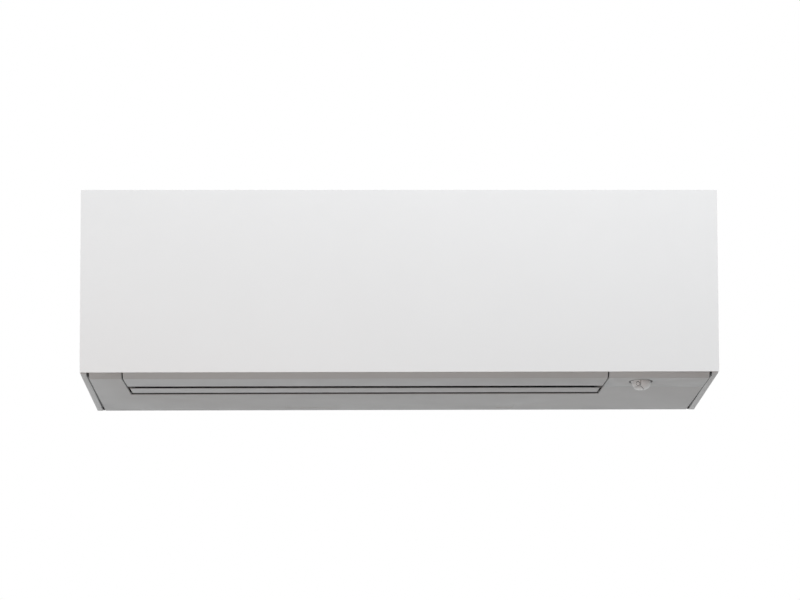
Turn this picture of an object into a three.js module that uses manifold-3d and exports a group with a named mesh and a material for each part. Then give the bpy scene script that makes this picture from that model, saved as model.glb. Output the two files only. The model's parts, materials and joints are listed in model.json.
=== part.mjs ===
// Wall-mounted indoor unit of a split air conditioner, as an assembly of its separate pieces.
// Millimetres. X runs along the wall, Y runs into the wall with the wall's face at y = 0, Z is up.
// The origin is the centre of the mounting plate's back face. Inside the assembly group, heights
// count from the unit's lower edge at the wall, and the group lowers them by half the height.

import * as THREE from 'three';
import { mergeVertices } from 'three/addons/utils/BufferGeometryUtils.js';
import Module from 'manifold-3d';

const wasm = await Module();
wasm.setup();

// ---------------------------------------------------------------- driving dimensions

// Overall
const WIDTH = 870;
const HEIGHT = 295;
const DEPTH = 229;
const GAP = 0.3; // between pieces that seat on each other
const RUN = 0.4; // round a pin in its hole
const SHEET = 2.5; // moulded wall

// Front panel
const PANEL_DROP = 46; // from the panel's lower edge down to the unit's lower edge at the wall
const PANEL_THICK = 8;
const PANEL_SKIN = 2.5;
const PANEL_PIVOT_BACK = 3; // behind the panel's back face
const PANEL_PIVOT_DOWN = 5.5; // below the panel's top edge
const PANEL_PIN_R = 1.5;
const PIN_DEPTH = 5; // of the blind hole in a side cover
const KNUCKLE_R = 2.2;
const KNUCKLE_WIDTH = 6;
const KNUCKLE_GAP = 0.6; // from a side cover to the panel's knuckle

// Front frame, behind the panel
const FRAME_BEHIND = 1.5; // from the panel's back face to the frame
const FRAME_LIFT = 2.5; // the frame's lower edge above the chamfer's top
const SCREW_R = 2;
const SCREW_HEAD_R = 4;
const SCREW_HEIGHT = 78;
const SCREWS = [-320, -130, 60, 250]; // along X

// Side covers
const SIDE_THICK = 8;
const REVEAL = 3.5; // dark line between a side cover and the underside

// Underside
const CHAMFER_SETBACK = 15; // from the panel's face to the foot of the chamfer
const CHAMFER_DROP = 8.5; // from the panel's lower edge to the foot of the chamfer
const CHAMFER_ABOVE = 1.5; // how far the chamfer runs up behind the panel
const CHAMFER_RUN = 5.6; // from the chamfer's foot forward to its top
const LEFT_CHEEK = 59; // at the outlet's rear edge
const RIGHT_CHEEK = 152.5;
const OUTLET_FLARE = 3.5; // each end of the outlet lies this much further out at the chamfer's foot
const REVEAL_DEPTH = 3; // from the underside up to the dark wall in the reveal
const SEAM = 0.6; // between the sensor cover and the rest of the right cheek
const SEAM_FROM_WALL = 156;
const MARKS = [[-123.5, 73], [156, 24.5]]; // release marks: place along X and width
const MARK_LENGTH = 25; // along Y
const MARK_FROM_WALL = 40;
const MARK_SUNK = 0.7;

// Flaps, measured along Y from the wall
const LARGE_FLAP_REAR = 165.5;
const SMALL_FLAP_FRONT = 153.2;
const SMALL_FLAP_REAR = 124;
const OUTLET_REAR = 110;
const LIP_ABOVE = 0.6; // from the underside up to the hem of the duct's lip
const LARGE_END_GAP = 1.8; // between a flap's end and the outlet's end
const SMALL_END_GAP = 3.8;
const POST_LAP = 7; // of the front frame's post behind the rails
const REVEAL_HEEL = 7; // length at the wall where the dark wall closes the reveal
const FLAP_PIN_R = 2.5;
const LARGE_PIVOT_FROM_REAR = 6.5;
const LARGE_PIVOT_LIFT = 7.1; // above the underside
const SMALL_PIVOT_FROM_REAR = 5;
const SMALL_PIVOT_LIFT = 7.4;
const LUG_R = 4.6;
const LUG_THICK = 3;
const LUG_WEB = 3; // half the width of the web between a lug and its flap
const MOTOR_BOSS_R = 3.8;

// Fan
const FAN_R = 48;
const FAN_FROM_WALL = 108;
const FAN_HEIGHT = 118;
const FAN_END_GAP = 4;
const BLADES = 24;
const BLADE_THICK = 1.2;
const BLADE_DEPTH = 12; // from a disc's rim inward to a blade's inner edge
const BLADE_LEAN = 14; // degrees from a blade's inner edge to its outer edge
const DISC_THICK = 2;
const DISCS = 5;
const HUB_R = 9;
const HUB_LENGTH = 14;
const SHAFT_R = 4;
const BUSH_R = 7.6;
const BEARING_HOLE_R = 14;

// Scroll behind the fan
const SCROLL_START_DEG = 50;
const SCROLL_END_DEG = -60;
const SCROLL_START_GAP = 6;
const SCROLL_GROWTH = 14; // how much the gap to the fan grows from start to end

// Chassis
const REAR_WALL_FROM_WALL = 9; // the rear wall's front face
const CHANNEL_TOP = 75; // the pipe channel is open to the wall below this height
const FLOOR_FRONT = 63; // height of the side compartments' floors at the front

// Heat exchanger
const COIL_THICK = 26;
const COIL_FROM_FRONT = 43; // the front slab's middle, behind the panel's face
const COIL_BOTTOM = 94;
const COIL_KNEE = 168;
const COIL_APEX_FROM_WALL = 115;
const COIL_APEX_FROM_TOP = 36;
const COIL_REAR_FROM_WALL = 42;
const COIL_REAR_BOTTOM = 182;
const COIL_JOINT_GAP = 3;
const APEX_CLEAR = 4; // the end plates stay this much lower under the apex
const TUBE_SHEET_THICK = 1.2;
const TUBE_R = 3.5;
const TUBE_PITCH = 21;
const TUBE_ROWS = 13; // between the two rows of tubes
const BEND_OUT = 15; // reach of a return bend's control points

// Drain pan
const PAN_LIP_HEIGHT = 54.5;
const PAN_RIM = 90;
const TONGUE_FORWARD = 49.5; // from the fan's axis forward to the tongue's tip
const TONGUE_DOWN = 25.5; // from the fan's axis down to the tongue's tip
const SPIGOT_R = 7.5;
const SPIGOT_LENGTH = 24;

// Vertical vanes
const VANES = 5; // in each bank
const VANE_PITCH = 62;
const VANE_THICK = 1.6;
const VANE_PIN_R = 2;
const VANE_FROM_TONGUE = 40; // along the duct's upper wall
const VANE_CLEAR = 2; // between a vane and the wall
const VANE_FRONT = 14; // reach of a vane forward of its pivot
const VANE_BACK = 16;
const VANE_REACH = 26; // into the duct
const VANE_SOCKET = 3.5; // depth of a vane's hole in the pan
const LINK_PIN_R = 1.2;
const LINK_PIN_LENGTH = 4.5;
const LINK_THICK = 2.5;
const LINK_PLAY = 0.8; // beside a pin in its slot
const LINK_REACH = 12; // from a vane's pivot back to its pin in the link rod
const BANK_GAP = 62; // between the banks' nearest vanes

// Top cover and filters
const TOP_BELOW = 1; // the top cover lies this far below the panel's top edge
const TOP_THICK = 2.5;
const RECESS = 9; // the filters' recess in the top cover
const FILTER_THICK = 5;
const FILTER_NET = 0.7;
const FILTER_RIM = 9;
const TOP_FRONT_BORDER = 34;
const TOP_REAR_BORDER = 24;
const FILTER_MID_BAR = 16;
const GRILLE_THICK = 2.6;
const GRILLE_BAR = 5;
const SLOT_PITCH = 22;

// Mounting plate
const PLATE_WIDTH = 700;
const PLATE_BOTTOM = 34;
const PLATE_TOP = 272;
const PLATE_THICK = 1.2;
const PLATE_HOLES = [-300, -150, 75, 150, 300]; // along X
const PLATE_HOLE_R = 3;
const PLATE_ROW_UP = 28; // from the plate's lower edge up to the lower row of holes
const PLATE_ROW_DOWN = 37; // from its upper edge down to the upper row
const PLATE_CORNER_WIDE = 45;
const PLATE_CORNER_HIGH = 38;
const HOOK_SHELF = 262;
const HOOK_WIDTH = 26;
const HOOK_SPAN = 440;

// Right compartment
const MOTOR_R = 40;
const MOTOR_LENGTH = 46;
const MOTOR_FROM_END_PLATE = 10;
const BOX_WIDTH = 62;
const BOX_BEHIND = 24; // from the panel's face back to the control box
const BOX_REAR = 62;
const BOX_BOTTOM = 92;
const BOX_TOP = 258;
const BOX_WALL = 2;
const BUTTON_R = 4;
const BUTTON_PROUD = 2;
const BUTTON_TRAVEL = 1.2;
const STEPPER_R = 14;
const STEPPER_LENGTH = 17;
const LARGE_STEPPER_OFFSET = 10; // from a flap's pivot up to its motor's middle
const SMALL_STEPPER_OFFSET = 11;

// Sensor on the right cheek
const SENSOR_X_FROM_RIGHT = 102.5;
const SENSOR_FROM_WALL = 190;
const SENSOR_RING_R = 16.8;
const SENSOR_DOME_R = 13.6;
const SENSOR_DROP = 11.5;
const SENSOR_WINDOW_R = 3;
const SENSOR_STEP = 1.1; // how deep the dome's left flank is stepped in
const SENSOR_STEP_X = -2.2;
const SENSOR_STEP_LOW = -9;
const LENS_AIM = [-0.42, -0.86, -0.3];
const LENS_HEIGHT = -4.7;
const RING_SET_IN = 0.3;
const BOSS_OUT = 23;
const BOSS_TOP = 12;
const TURRET_SHAFT_R = 3;
const TURRET_SHAFT_TOP = 9;
const SENSOR_MOTOR_R = 10;
const SENSOR_MOTOR_TOP = 24;

// Pipes
const GAS_R = 4.76;
const LIQUID_R = 3.18;
const PIPE_HEIGHT = 40;
const GAS_FROM_WALL = 26;
const LIQUID_FROM_WALL = 48;
const PIPE_END_X = -60;
const GAS_FROM_END = 6; // from the rear slab's lower end to the gas pipe
const LIQUID_FROM_END = 45;
const NUT_LENGTH = 18;
const GAS_NUT_R = 12.7;
const LIQUID_NUT_R = 9.8;
const PIPE_PASS = 50; // width of the notch that lets the pipes down, from the end plate

// ---------------------------------------------------------------- derived places

const HALF = WIDTH / 2;
const SIDE_INNER = HALF - SIDE_THICK;
const COVER_HALF = SIDE_INNER - REVEAL;
const OUTLET_LEFT = -HALF + LEFT_CHEEK;
const OUTLET_RIGHT = HALF - RIGHT_CHEEK;
const PANEL_BACK = -(DEPTH - PANEL_THICK);
const PANEL_PIVOT = { y: PANEL_BACK + PANEL_PIVOT_BACK, z: HEIGHT - PANEL_PIVOT_DOWN };
const FOOT = { y: -(DEPTH - CHAMFER_SETBACK), z: PANEL_DROP - CHAMFER_DROP };
const CHAMFER_TOP = { y: FOOT.y - CHAMFER_RUN, z: PANEL_DROP + CHAMFER_ABOVE };
const SLOPE = FOOT.z / -FOOT.y;
const SLOPE_ANGLE = Math.atan(SLOPE);
const FAN = { y: -FAN_FROM_WALL, z: FAN_HEIGHT };
const END_OUT = OUTLET_FLARE + GAP; // from an end of the outlet's rear edge out to an end plate
const END_LEFT = { in: OUTLET_LEFT - END_OUT, out: OUTLET_LEFT - END_OUT - SHEET };
const END_RIGHT = { in: OUTLET_RIGHT + END_OUT, out: OUTLET_RIGHT + END_OUT + SHEET };
const WALL_OUT = SIDE_INNER - GAP; // the chassis side walls' outer faces
const WALL_IN = WALL_OUT - SHEET;
const TOP_FACE = HEIGHT - TOP_BELOW;
const CHASSIS_FRONT = PANEL_BACK + 12;
const CHASSIS_TOP = HEIGHT - 14;

const FRAME_BACK = PANEL_BACK + FRAME_BEHIND + SHEET; // the front frame's rear face
const FRAME_BOTTOM = CHAMFER_TOP.z + FRAME_LIFT;
const PAN_FRONT = FRAME_BACK + GAP;
const INLET_LEFT = OUTLET_LEFT - 18;
const INLET_RIGHT = OUTLET_RIGHT + 4;
const INLET_MIDDLE = (INLET_LEFT + INLET_RIGHT) / 2;
const INLET_FRONT = -DEPTH + TOP_FRONT_BORDER;
const INLET_REAR = -TOP_REAR_BORDER;
const BOX_RIGHT = WALL_IN - GAP;
const BOX_LEFT = BOX_RIGHT - BOX_WIDTH;
const RECESS_FLOOR = TOP_FACE - RECESS + SHEET;
const LIP_BOTTOM = TOP_FACE - RECESS - SHEET;
const WALL_STEP = LIP_BOTTOM - 18; // below it the chassis's side walls reach the front frame
const KNUCKLE_POCKET = 11;
const TONGUE = { y: FAN.y - TONGUE_FORWARD, z: FAN.z - TONGUE_DOWN };
const PAN_LOW = { y: PAN_FRONT + 4.5, z: PAN_LIP_HEIGHT };
const SPIGOT = { y: PAN_FRONT + 13, z: PAN_LIP_HEIGHT + 15.5 };
const SCROLL_BACK = FAN.y + FAN_R + SCROLL_START_GAP + SCROLL_GROWTH / 2 + SHEET + 0.5;
const COIL_FRONT_Y = -DEPTH + COIL_FROM_FRONT;
const COIL_INNER_Y = COIL_FRONT_Y + COIL_THICK / 2;

// Each slab's middle line, from [y, z] to [y, z].
const SLABS = {
  coil_front_lower: [[COIL_FRONT_Y, COIL_BOTTOM], [COIL_FRONT_Y, COIL_KNEE - COIL_JOINT_GAP]],
  coil_front_upper: [
    [COIL_FRONT_Y + COIL_JOINT_GAP, COIL_KNEE + 8],
    [-COIL_APEX_FROM_WALL - 15, HEIGHT - COIL_APEX_FROM_TOP],
  ],
  coil_rear: [
    [-COIL_APEX_FROM_WALL + 10, HEIGHT - COIL_APEX_FROM_TOP - 2],
    [-COIL_REAR_FROM_WALL, COIL_REAR_BOTTOM],
  ],
};

// Height of the underside's outer face at a place y.
function underside(y) {
  return -y * SLOPE;
}

// Place along X of an end of the outlet, at a place y. Side is -1 for the left end and 1 for the right.
function outletEnd(side, y) {
  const rear = side < 0 ? OUTLET_LEFT : OUTLET_RIGHT;
  return rear + (side * OUTLET_FLARE * (-OUTLET_REAR - y)) / (-OUTLET_REAR - FOOT.y);
}

const LARGE_PIVOT = {
  y: -LARGE_FLAP_REAR - LARGE_PIVOT_FROM_REAR,
  z: underside(-LARGE_FLAP_REAR - LARGE_PIVOT_FROM_REAR) + LARGE_PIVOT_LIFT,
};
const SMALL_PIVOT = {
  y: -SMALL_FLAP_REAR - SMALL_PIVOT_FROM_REAR,
  z: underside(-SMALL_FLAP_REAR - SMALL_PIVOT_FROM_REAR) + SMALL_PIVOT_LIFT,
};
const SENSOR = { x: HALF - SENSOR_X_FROM_RIGHT, y: -SENSOR_FROM_WALL, z: underside(-SENSOR_FROM_WALL) };

// ---------------------------------------------------------------- shape helpers

// Carries a shape drawn in the XY plane and extruded along Z over to the (y, z) plane along X.
const TO_SECTION = new THREE.Matrix4().makeBasis(
  new THREE.Vector3(0, 1, 0),
  new THREE.Vector3(0, 0, 1),
  new THREE.Vector3(1, 0, 0),
);

function shapeOf(points) {
  return new THREE.Shape(points.map(([u, v]) => new THREE.Vector2(u, v)));
}

function extrudeShape(shape, depth) {
  return new THREE.ExtrudeGeometry(shape, { depth, bevelEnabled: false, curveSegments: 6 });
}

// A prism whose section is a list of [y, z] points, from x0 to x1.
function prismX(points, x0, x1) {
  const geometry = extrudeShape(shapeOf(points), x1 - x0);
  return geometry.applyMatrix4(TO_SECTION).translate(x0, 0, 0);
}

// A prism whose plan is a list of [x, y] points, from z0 to z1.
function prismZ(points, z0, z1) {
  return extrudeShape(shapeOf(points), z1 - z0).translate(0, 0, z0);
}

function block(x0, x1, y0, y1, z0, z1) {
  const geometry = new THREE.BoxGeometry(x1 - x0, y1 - y0, z1 - z0);
  return geometry.translate((x0 + x1) / 2, (y0 + y1) / 2, (z0 + z1) / 2);
}

// A cylinder along X.
function rodX(r, x0, x1, y, z, sides = 12) {
  const geometry = new THREE.CylinderGeometry(r, r, x1 - x0, sides);
  return geometry.rotateZ(-Math.PI / 2).translate((x0 + x1) / 2, y, z);
}

// A cylinder along Y.
function rodY(r, y0, y1, x, z, sides = 12) {
  return new THREE.CylinderGeometry(r, r, y1 - y0, sides).translate(x, (y0 + y1) / 2, z);
}

// A cylinder along Z.
function rodZ(r, z0, z1, x, y, sides = 12) {
  const geometry = new THREE.CylinderGeometry(r, r, z1 - z0, sides);
  return geometry.rotateX(Math.PI / 2).translate(x, y, (z0 + z1) / 2);
}

// A curve through points, with one step from each point to the next.
class PointPath extends THREE.Curve {
  constructor(points) {
    super();
    this.points = points;
  }

  getPoint(t, target = new THREE.Vector3()) {
    const place = Math.min(Math.max(t, 0), 1) * (this.points.length - 1);
    const i = Math.min(Math.floor(place), this.points.length - 2);
    return target.lerpVectors(this.points[i], this.points[i + 1], place - i);
  }

  getUtoTmapping(u) {
    return u;
  }
}

// A round pipe along [x, y, z] corners, each rounded over a distance on both sides.
function pipeAlong(corners, r, bend, sides = 8, steps = 4) {
  const places = corners.map((corner) => new THREE.Vector3(...corner));
  const points = [places[0]];
  for (let i = 1; i < places.length - 1; i += 1) {
    const back = places[i - 1].clone().sub(places[i]).setLength(bend).add(places[i]);
    const ahead = places[i + 1].clone().sub(places[i]).setLength(bend).add(places[i]);
    points.push(...new THREE.QuadraticBezierCurve3(back, places[i], ahead).getPoints(steps));
  }
  points.push(places[places.length - 1]);
  return sweep(new PointPath(points), r, sides, points.length - 1);
}

function sweep(path, r, sides, steps) {
  const section = [];
  for (let i = 0; i < sides; i += 1) {
    const a = (2 * Math.PI * i) / sides;
    section.push([r * Math.cos(a), r * Math.sin(a)]);
  }
  return new THREE.ExtrudeGeometry(shapeOf(section), { steps, extrudePath: path, bevelEnabled: false });
}

// Closed geometry to a solid and back, for joins and cuts.
function solidOf(geometry) {
  const bare = geometry.clone();
  bare.deleteAttribute('normal');
  bare.deleteAttribute('uv');
  const merged = mergeVertices(bare, 1e-4);
  const vertProperties = new Float32Array(merged.attributes.position.array);
  const triVerts = new Uint32Array(merged.index.array);
  return new wasm.Manifold(new wasm.Mesh({ numProp: 3, vertProperties, triVerts }));
}

function geometryOf(solid) {
  const mesh = solid.getMesh();
  const geometry = new THREE.BufferGeometry();
  geometry.setAttribute('position', new THREE.BufferAttribute(mesh.vertProperties, 3));
  geometry.setIndex(new THREE.BufferAttribute(mesh.triVerts, 1));
  geometry.computeVertexNormals();
  return geometry;
}

// Joins the first list of geometries and cuts the second list out of them.
function build(joined, cut = []) {
  let solid = solidOf(joined[0]);
  for (const geometry of joined.slice(1)) {
    solid = solid.add(solidOf(geometry));
  }
  for (const geometry of cut) {
    solid = solid.subtract(solidOf(geometry));
  }
  return geometryOf(solid);
}

// ---------------------------------------------------------------- materials

function finish(color, roughness, metalness = 0) {
  return new THREE.MeshStandardMaterial({ color, roughness, metalness });
}

const FINISHES = {
  white: finish(0xe7e9eb, 0.42),
  side: finish(0xe4e6e8, 0.45),
  grey: finish(0xd3d5d7, 0.5),
  dark: finish(0x3c3f42, 0.6),
  inner: finish(0xc9cbcc, 0.6),
  black: finish(0x1b1c1d, 0.5),
  steel: finish(0xa9adb0, 0.4, 0.8),
  fins: finish(0xc4c9cc, 0.45, 0.7),
  copper: finish(0xb5713f, 0.35, 0.9),
  brass: finish(0xc9a44c, 0.35, 0.9),
  rubber: finish(0x222222, 0.9),
  board: finish(0x2e6b45, 0.6),
  lens: finish(0xf1f2f2, 0.2),
  window: finish(0xb4b7b9, 0.25),
};

const unit = new THREE.Group();
unit.position.z = -HEIGHT / 2;

function piece(name, geometry, material, parent = unit) {
  const mesh = new THREE.Mesh(geometry, material);
  mesh.name = name;
  parent.add(mesh);
  return mesh;
}

// A point beside a slab's middle line: share along it, and a distance out from it.
function besideSlab([from, to], share, out) {
  const dy = to[0] - from[0];
  const dz = to[1] - from[1];
  const length = Math.hypot(dy, dz);
  return [
    from[0] + dy * share - (dz / length) * out,
    from[1] + dz * share + (dy / length) * out,
  ];
}

// The outline that the fan chamber's end plates follow just inside the tube sheets.
function chamberEdge() {
  const inside = -COIL_THICK / 2 - 0.5;
  const [lower, upper, rear] = Object.values(SLABS);
  const ahead = besideSlab(upper, 1, inside);
  const behind = besideSlab(rear, 0, inside);
  const apex = [(ahead[0] + behind[0]) / 2, Math.min(ahead[1], behind[1]) - APEX_CLEAR];
  return [
    besideSlab(lower, 0, inside),
    besideSlab(lower, 1, inside),
    besideSlab(upper, 0, inside),
    apex,
    besideSlab(rear, 1, inside),
  ];
}

// ---------------------------------------------------------------- mounting plate

function mountingPlate() {
  const half = PLATE_WIDTH / 2;
  const back = -PLATE_THICK;
  const joined = [block(-half, half, back, 0, PLATE_BOTTOM, PLATE_TOP)];
  const flange = 4;
  joined.push(block(-half, half, -flange, 0, PLATE_TOP - PLATE_THICK, PLATE_TOP));
  for (const x of [-HOOK_SPAN / 2, HOOK_SPAN / 2]) {
    const front = -REAR_WALL_FROM_WALL - 2;
    const hook = [
      [0, HOOK_SHELF - PLATE_THICK],
      [0, HOOK_SHELF],
      [front + PLATE_THICK, HOOK_SHELF],
      [front + PLATE_THICK, HOOK_SHELF + 7],
      [front, HOOK_SHELF + 7],
      [front, HOOK_SHELF - PLATE_THICK],
    ];
    joined.push(prismX(hook.reverse(), x - HOOK_WIDTH / 2, x + HOOK_WIDTH / 2));
    joined.push(block(x - 9, x + 9, -6, 0, PLATE_BOTTOM - 6, PLATE_BOTTOM));
  }
  const cut = [];
  for (const x of PLATE_HOLES) {
    for (const z of [PLATE_BOTTOM + PLATE_ROW_UP, PLATE_TOP - PLATE_ROW_DOWN]) {
      cut.push(rodY(PLATE_HOLE_R, back - 1, 1, x, z, 8));
    }
  }
  for (const x of [-half, half]) {
    cut.push(block(x - PLATE_CORNER_WIDE, x + PLATE_CORNER_WIDE, back - 1, 1,
      PLATE_BOTTOM - 1, PLATE_BOTTOM + PLATE_CORNER_HIGH));
  }
  piece('mounting_plate', build(joined, cut), FINISHES.steel);
}

// ---------------------------------------------------------------- chassis

// A point of the scroll's inner face, at an angle above the fan's rear horizontal.
function scrollPoint(degrees, offset = 0) {
  const share = (SCROLL_START_DEG - degrees) / (SCROLL_START_DEG - SCROLL_END_DEG);
  const r = FAN_R + SCROLL_START_GAP + SCROLL_GROWTH * share + offset;
  const a = THREE.MathUtils.degToRad(degrees);
  return [FAN.y + r * Math.cos(a), FAN.z + r * Math.sin(a)];
}

// Height at which the scroll's lower end rests above the underside's cover.
const LIP_SEAT = underside(-OUTLET_REAR - SHEET) + SHEET + GAP;

function scrollSection() {
  const inner = [];
  const outer = [];
  const steps = 8;
  for (let i = 0; i <= steps; i += 1) {
    const degrees = SCROLL_START_DEG + ((SCROLL_END_DEG - SCROLL_START_DEG) * i) / steps;
    inner.push(scrollPoint(degrees));
    outer.push(scrollPoint(degrees, SHEET));
  }
  // The lip hangs down in front of the underside's edge.
  const lip = -OUTLET_REAR;
  const hem = underside(lip - SHEET) + LIP_ABOVE;
  inner.push([lip - SHEET, LIP_SEAT + SHEET]);
  inner.push([lip - SHEET, hem]);
  inner.push([lip - GAP, hem]);
  inner.push([lip - GAP, LIP_SEAT]);
  outer.push([lip + 1, LIP_SEAT]);
  // The shelf that ties the scroll's top to the rear wall and catches the rear slab's water.
  const [startY, startZ] = inner[0];
  const rear = -REAR_WALL_FROM_WALL;
  const shelf = [
    [rear, startZ - 1],
    [rear, startZ + 1.5],
    [startY + 4, startZ + 1.5],
    [startY, startZ + 6],
  ];
  const points = [...inner, ...outer.slice(1).reverse(), ...shelf];
  return points;
}

// The outline of an end plate, which closes the duct and the fan chamber up to the tube sheets.
function endPlateSection() {
  const lift = SHEET + GAP;
  const front = PANEL_BACK + 8.5;
  const edge = chamberEdge();
  const bottom = edge[0][1] - 5;
  return [
    [front, FOOT.z + 12],
    [front, bottom],
    [edge[0][0], bottom],
    ...edge,
    [SCROLL_BACK, COIL_REAR_BOTTOM - 18],
    [SCROLL_BACK, CHANNEL_TOP],
    [SCROLL_BACK - 22, CHANNEL_TOP - 23],
    [-OUTLET_REAR + 1, underside(-OUTLET_REAR) + lift],
    [FOOT.y + 6, underside(FOOT.y + 6) + lift + 1],
  ].reverse();
}

function chassis() {
  const rear = -REAR_WALL_FROM_WALL;
  const [, scrollTop] = scrollPoint(SCROLL_START_DEG);
  const joined = [
    prismX(scrollSection().reverse(), END_LEFT.out, END_RIGHT.out),
    prismX(endPlateSection(), END_LEFT.out, END_LEFT.in),
    prismX(endPlateSection(), END_RIGHT.in, END_RIGHT.out),
    block(-WALL_OUT, WALL_OUT, rear, rear + SHEET, scrollTop - 1, CHASSIS_TOP),
    block(-WALL_OUT, END_LEFT.out + 1, rear, rear + SHEET, CHANNEL_TOP, scrollTop),
    block(END_RIGHT.out - 1, WALL_OUT, rear, rear + SHEET, CHANNEL_TOP, scrollTop),
  ];
  for (const side of [-1, 1]) {
    const wall = [
      [-GAP, underside(-GAP) + LIP_ABOVE],
      [-GAP, CHASSIS_TOP],
      [CHASSIS_FRONT + 14, CHASSIS_TOP],
      [CHASSIS_FRONT, CHASSIS_TOP - 16],
      [CHASSIS_FRONT, WALL_STEP],
      [PAN_FRONT, WALL_STEP],
      [PAN_FRONT, underside(PAN_FRONT) + REVEAL_DEPTH],
      [-REVEAL_HEEL, underside(-REVEAL_HEEL) + REVEAL_DEPTH],
      [-REVEAL_HEEL, underside(-REVEAL_HEEL) + LIP_ABOVE],
    ].reverse();
    const x = side < 0 ? -WALL_OUT : WALL_IN;
    joined.push(prismX(wall, x, x + SHEET));
  }
  const floorFront = SPIGOT.y + SPIGOT_R + 3;
  const floor = [
    [floorFront, FLOOR_FRONT],
    [floorFront, FLOOR_FRONT + SHEET],
    [rear, CHANNEL_TOP + SHEET],
    [rear, CHANNEL_TOP],
  ].reverse();
  joined.push(prismX(floor, -WALL_OUT, END_LEFT.out + 1));
  joined.push(prismX(floor, END_RIGHT.out - 1, WALL_OUT));
  const cut = [
    rodX(BEARING_HOLE_R, END_LEFT.out - 1, END_LEFT.in + 1, FAN.y, FAN.z, 16),
    rodX(BEARING_HOLE_R, END_RIGHT.in - 1, END_RIGHT.out + 1, FAN.y, FAN.z, 16),
    rodX(SPIGOT_R + RUN, END_LEFT.out - 1, END_LEFT.in + 1, SPIGOT.y, SPIGOT.z, 12),
    rodX(SPIGOT_R + RUN, END_RIGHT.in - 1, END_RIGHT.out + 1, SPIGOT.y, SPIGOT.z, 12),
    block(END_RIGHT.out + 4, END_RIGHT.out + PIPE_PASS, SCROLL_BACK - 16, rear - 1, CHANNEL_TOP - 10,
      CHANNEL_TOP + 10),
  ];
  for (const pivot of [LARGE_PIVOT, SMALL_PIVOT]) {
    cut.push(rodX(FLAP_PIN_R + RUN, END_LEFT.out - 1, END_LEFT.in + 1, pivot.y, pivot.z, 12));
    cut.push(rodX(FLAP_PIN_R + RUN, END_RIGHT.in - 1, END_RIGHT.out + 1, pivot.y, pivot.z, 12));
  }
  for (const x of [-HOOK_SPAN / 2, HOOK_SPAN / 2]) {
    const half = HOOK_WIDTH / 2 + 1.5;
    cut.push(block(x - half, x + half, rear - 1, rear + SHEET + 1, HOOK_SHELF - 9, HOOK_SHELF + GAP));
  }
  const lipFront = -OUTLET_REAR - SHEET;
  for (const side of [-1, 1]) {
    const near = outletEnd(side, lipFront) - side * GAP;
    const far = side < 0 ? END_LEFT.out - 1 : END_RIGHT.out + 1;
    const [x0, x1] = [Math.min(near, far), Math.max(near, far)];
    cut.push(block(x0, x1, lipFront - 1, -OUTLET_REAR, 0, LIP_SEAT));
  }
  piece('chassis', build(joined, cut), FINISHES.dark);
}

// ---------------------------------------------------------------- underside covers

// The underside's shell from a front edge back to a place near the wall.
function shellSection(rearY) {
  return [
    [CHAMFER_TOP.y, FRAME_BOTTOM - GAP],
    [CHAMFER_TOP.y, CHAMFER_TOP.z],
    [FOOT.y, FOOT.z],
    [rearY, underside(rearY)],
    [rearY, underside(rearY) + SHEET],
    [FOOT.y + SHEET * 0.9, underside(FOOT.y + SHEET * 0.9) + SHEET],
    [CHAMFER_TOP.y + SHEET, CHAMFER_TOP.z + 0.6],
    [CHAMFER_TOP.y + SHEET, FRAME_BOTTOM - GAP],
  ];
}

// The outlet's hole in the underside, as a solid that is cut out of the covers.
function outletHole() {
  const front = -DEPTH - 1;
  return prismZ([
    [outletEnd(-1, -OUTLET_REAR), -OUTLET_REAR],
    [outletEnd(-1, front), front],
    [outletEnd(1, front), front],
    [outletEnd(1, -OUTLET_REAR), -OUTLET_REAR],
  ], 0, FRAME_BOTTOM + 5);
}

function bottomCover() {
  const joined = [prismX(shellSection(-GAP), -COVER_HALF, COVER_HALF)];
  const flangeTop = 11;
  for (const x of [-COVER_HALF, COVER_HALF - SHEET]) {
    const flange = [
      [-GAP, underside(-GAP)],
      [-GAP, flangeTop],
      [FOOT.y + 12, underside(FOOT.y + 12) + flangeTop],
      [FOOT.y + 12, underside(FOOT.y + 12)],
    ];
    joined.push(prismX(flange.reverse(), x, x + SHEET));
  }
  const rearFoot = underside(-GAP - SHEET);
  joined.push(block(-COVER_HALF, COVER_HALF, -GAP - SHEET, -GAP, rearFoot, flangeTop - 4));
  const cut = [
    outletHole(),
    block(OUTLET_RIGHT - 1, HALF, -DEPTH - 1, -SEAM_FROM_WALL, 0, FRAME_BOTTOM + 5),
  ];
  const markRear = -MARK_FROM_WALL + MARK_LENGTH;
  const mark = [
    [-MARK_FROM_WALL, -1],
    [markRear, -1],
    [markRear, underside(markRear) + MARK_SUNK],
    [-MARK_FROM_WALL, underside(-MARK_FROM_WALL) + MARK_SUNK],
  ];
  for (const [x, width] of MARKS) {
    cut.push(prismX(mark, x - width / 2, x + width / 2));
  }
  piece('bottom_cover', build(joined, cut), FINISHES.grey);
}

// A frame on the right cheek whose z axis points out of the sensor cover's inner side.
function sensorFrame() {
  const frame = new THREE.Group();
  frame.position.set(SENSOR.x, SENSOR.y, SENSOR.z);
  frame.rotation.x = -SLOPE_ANGLE;
  frame.updateMatrix();
  return frame;
}

function sensorCover() {
  const rear = -SEAM_FROM_WALL - SEAM;
  const frame = sensorFrame();
  const joined = [prismX(shellSection(rear), OUTLET_RIGHT, COVER_HALF)];
  for (const side of [-1, 1]) {
    joined.push(rodZ(2.5, 0.5, BOSS_TOP, side * BOSS_OUT, 0, 8).applyMatrix4(frame.matrix));
  }
  const hole = rodZ(SENSOR_RING_R, -4, SHEET + 2, 0, 0, 24).applyMatrix4(frame.matrix);
  piece('sensor_cover', build(joined, [hole, outletHole()]), FINISHES.grey);
}

// ---------------------------------------------------------------- side covers

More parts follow.
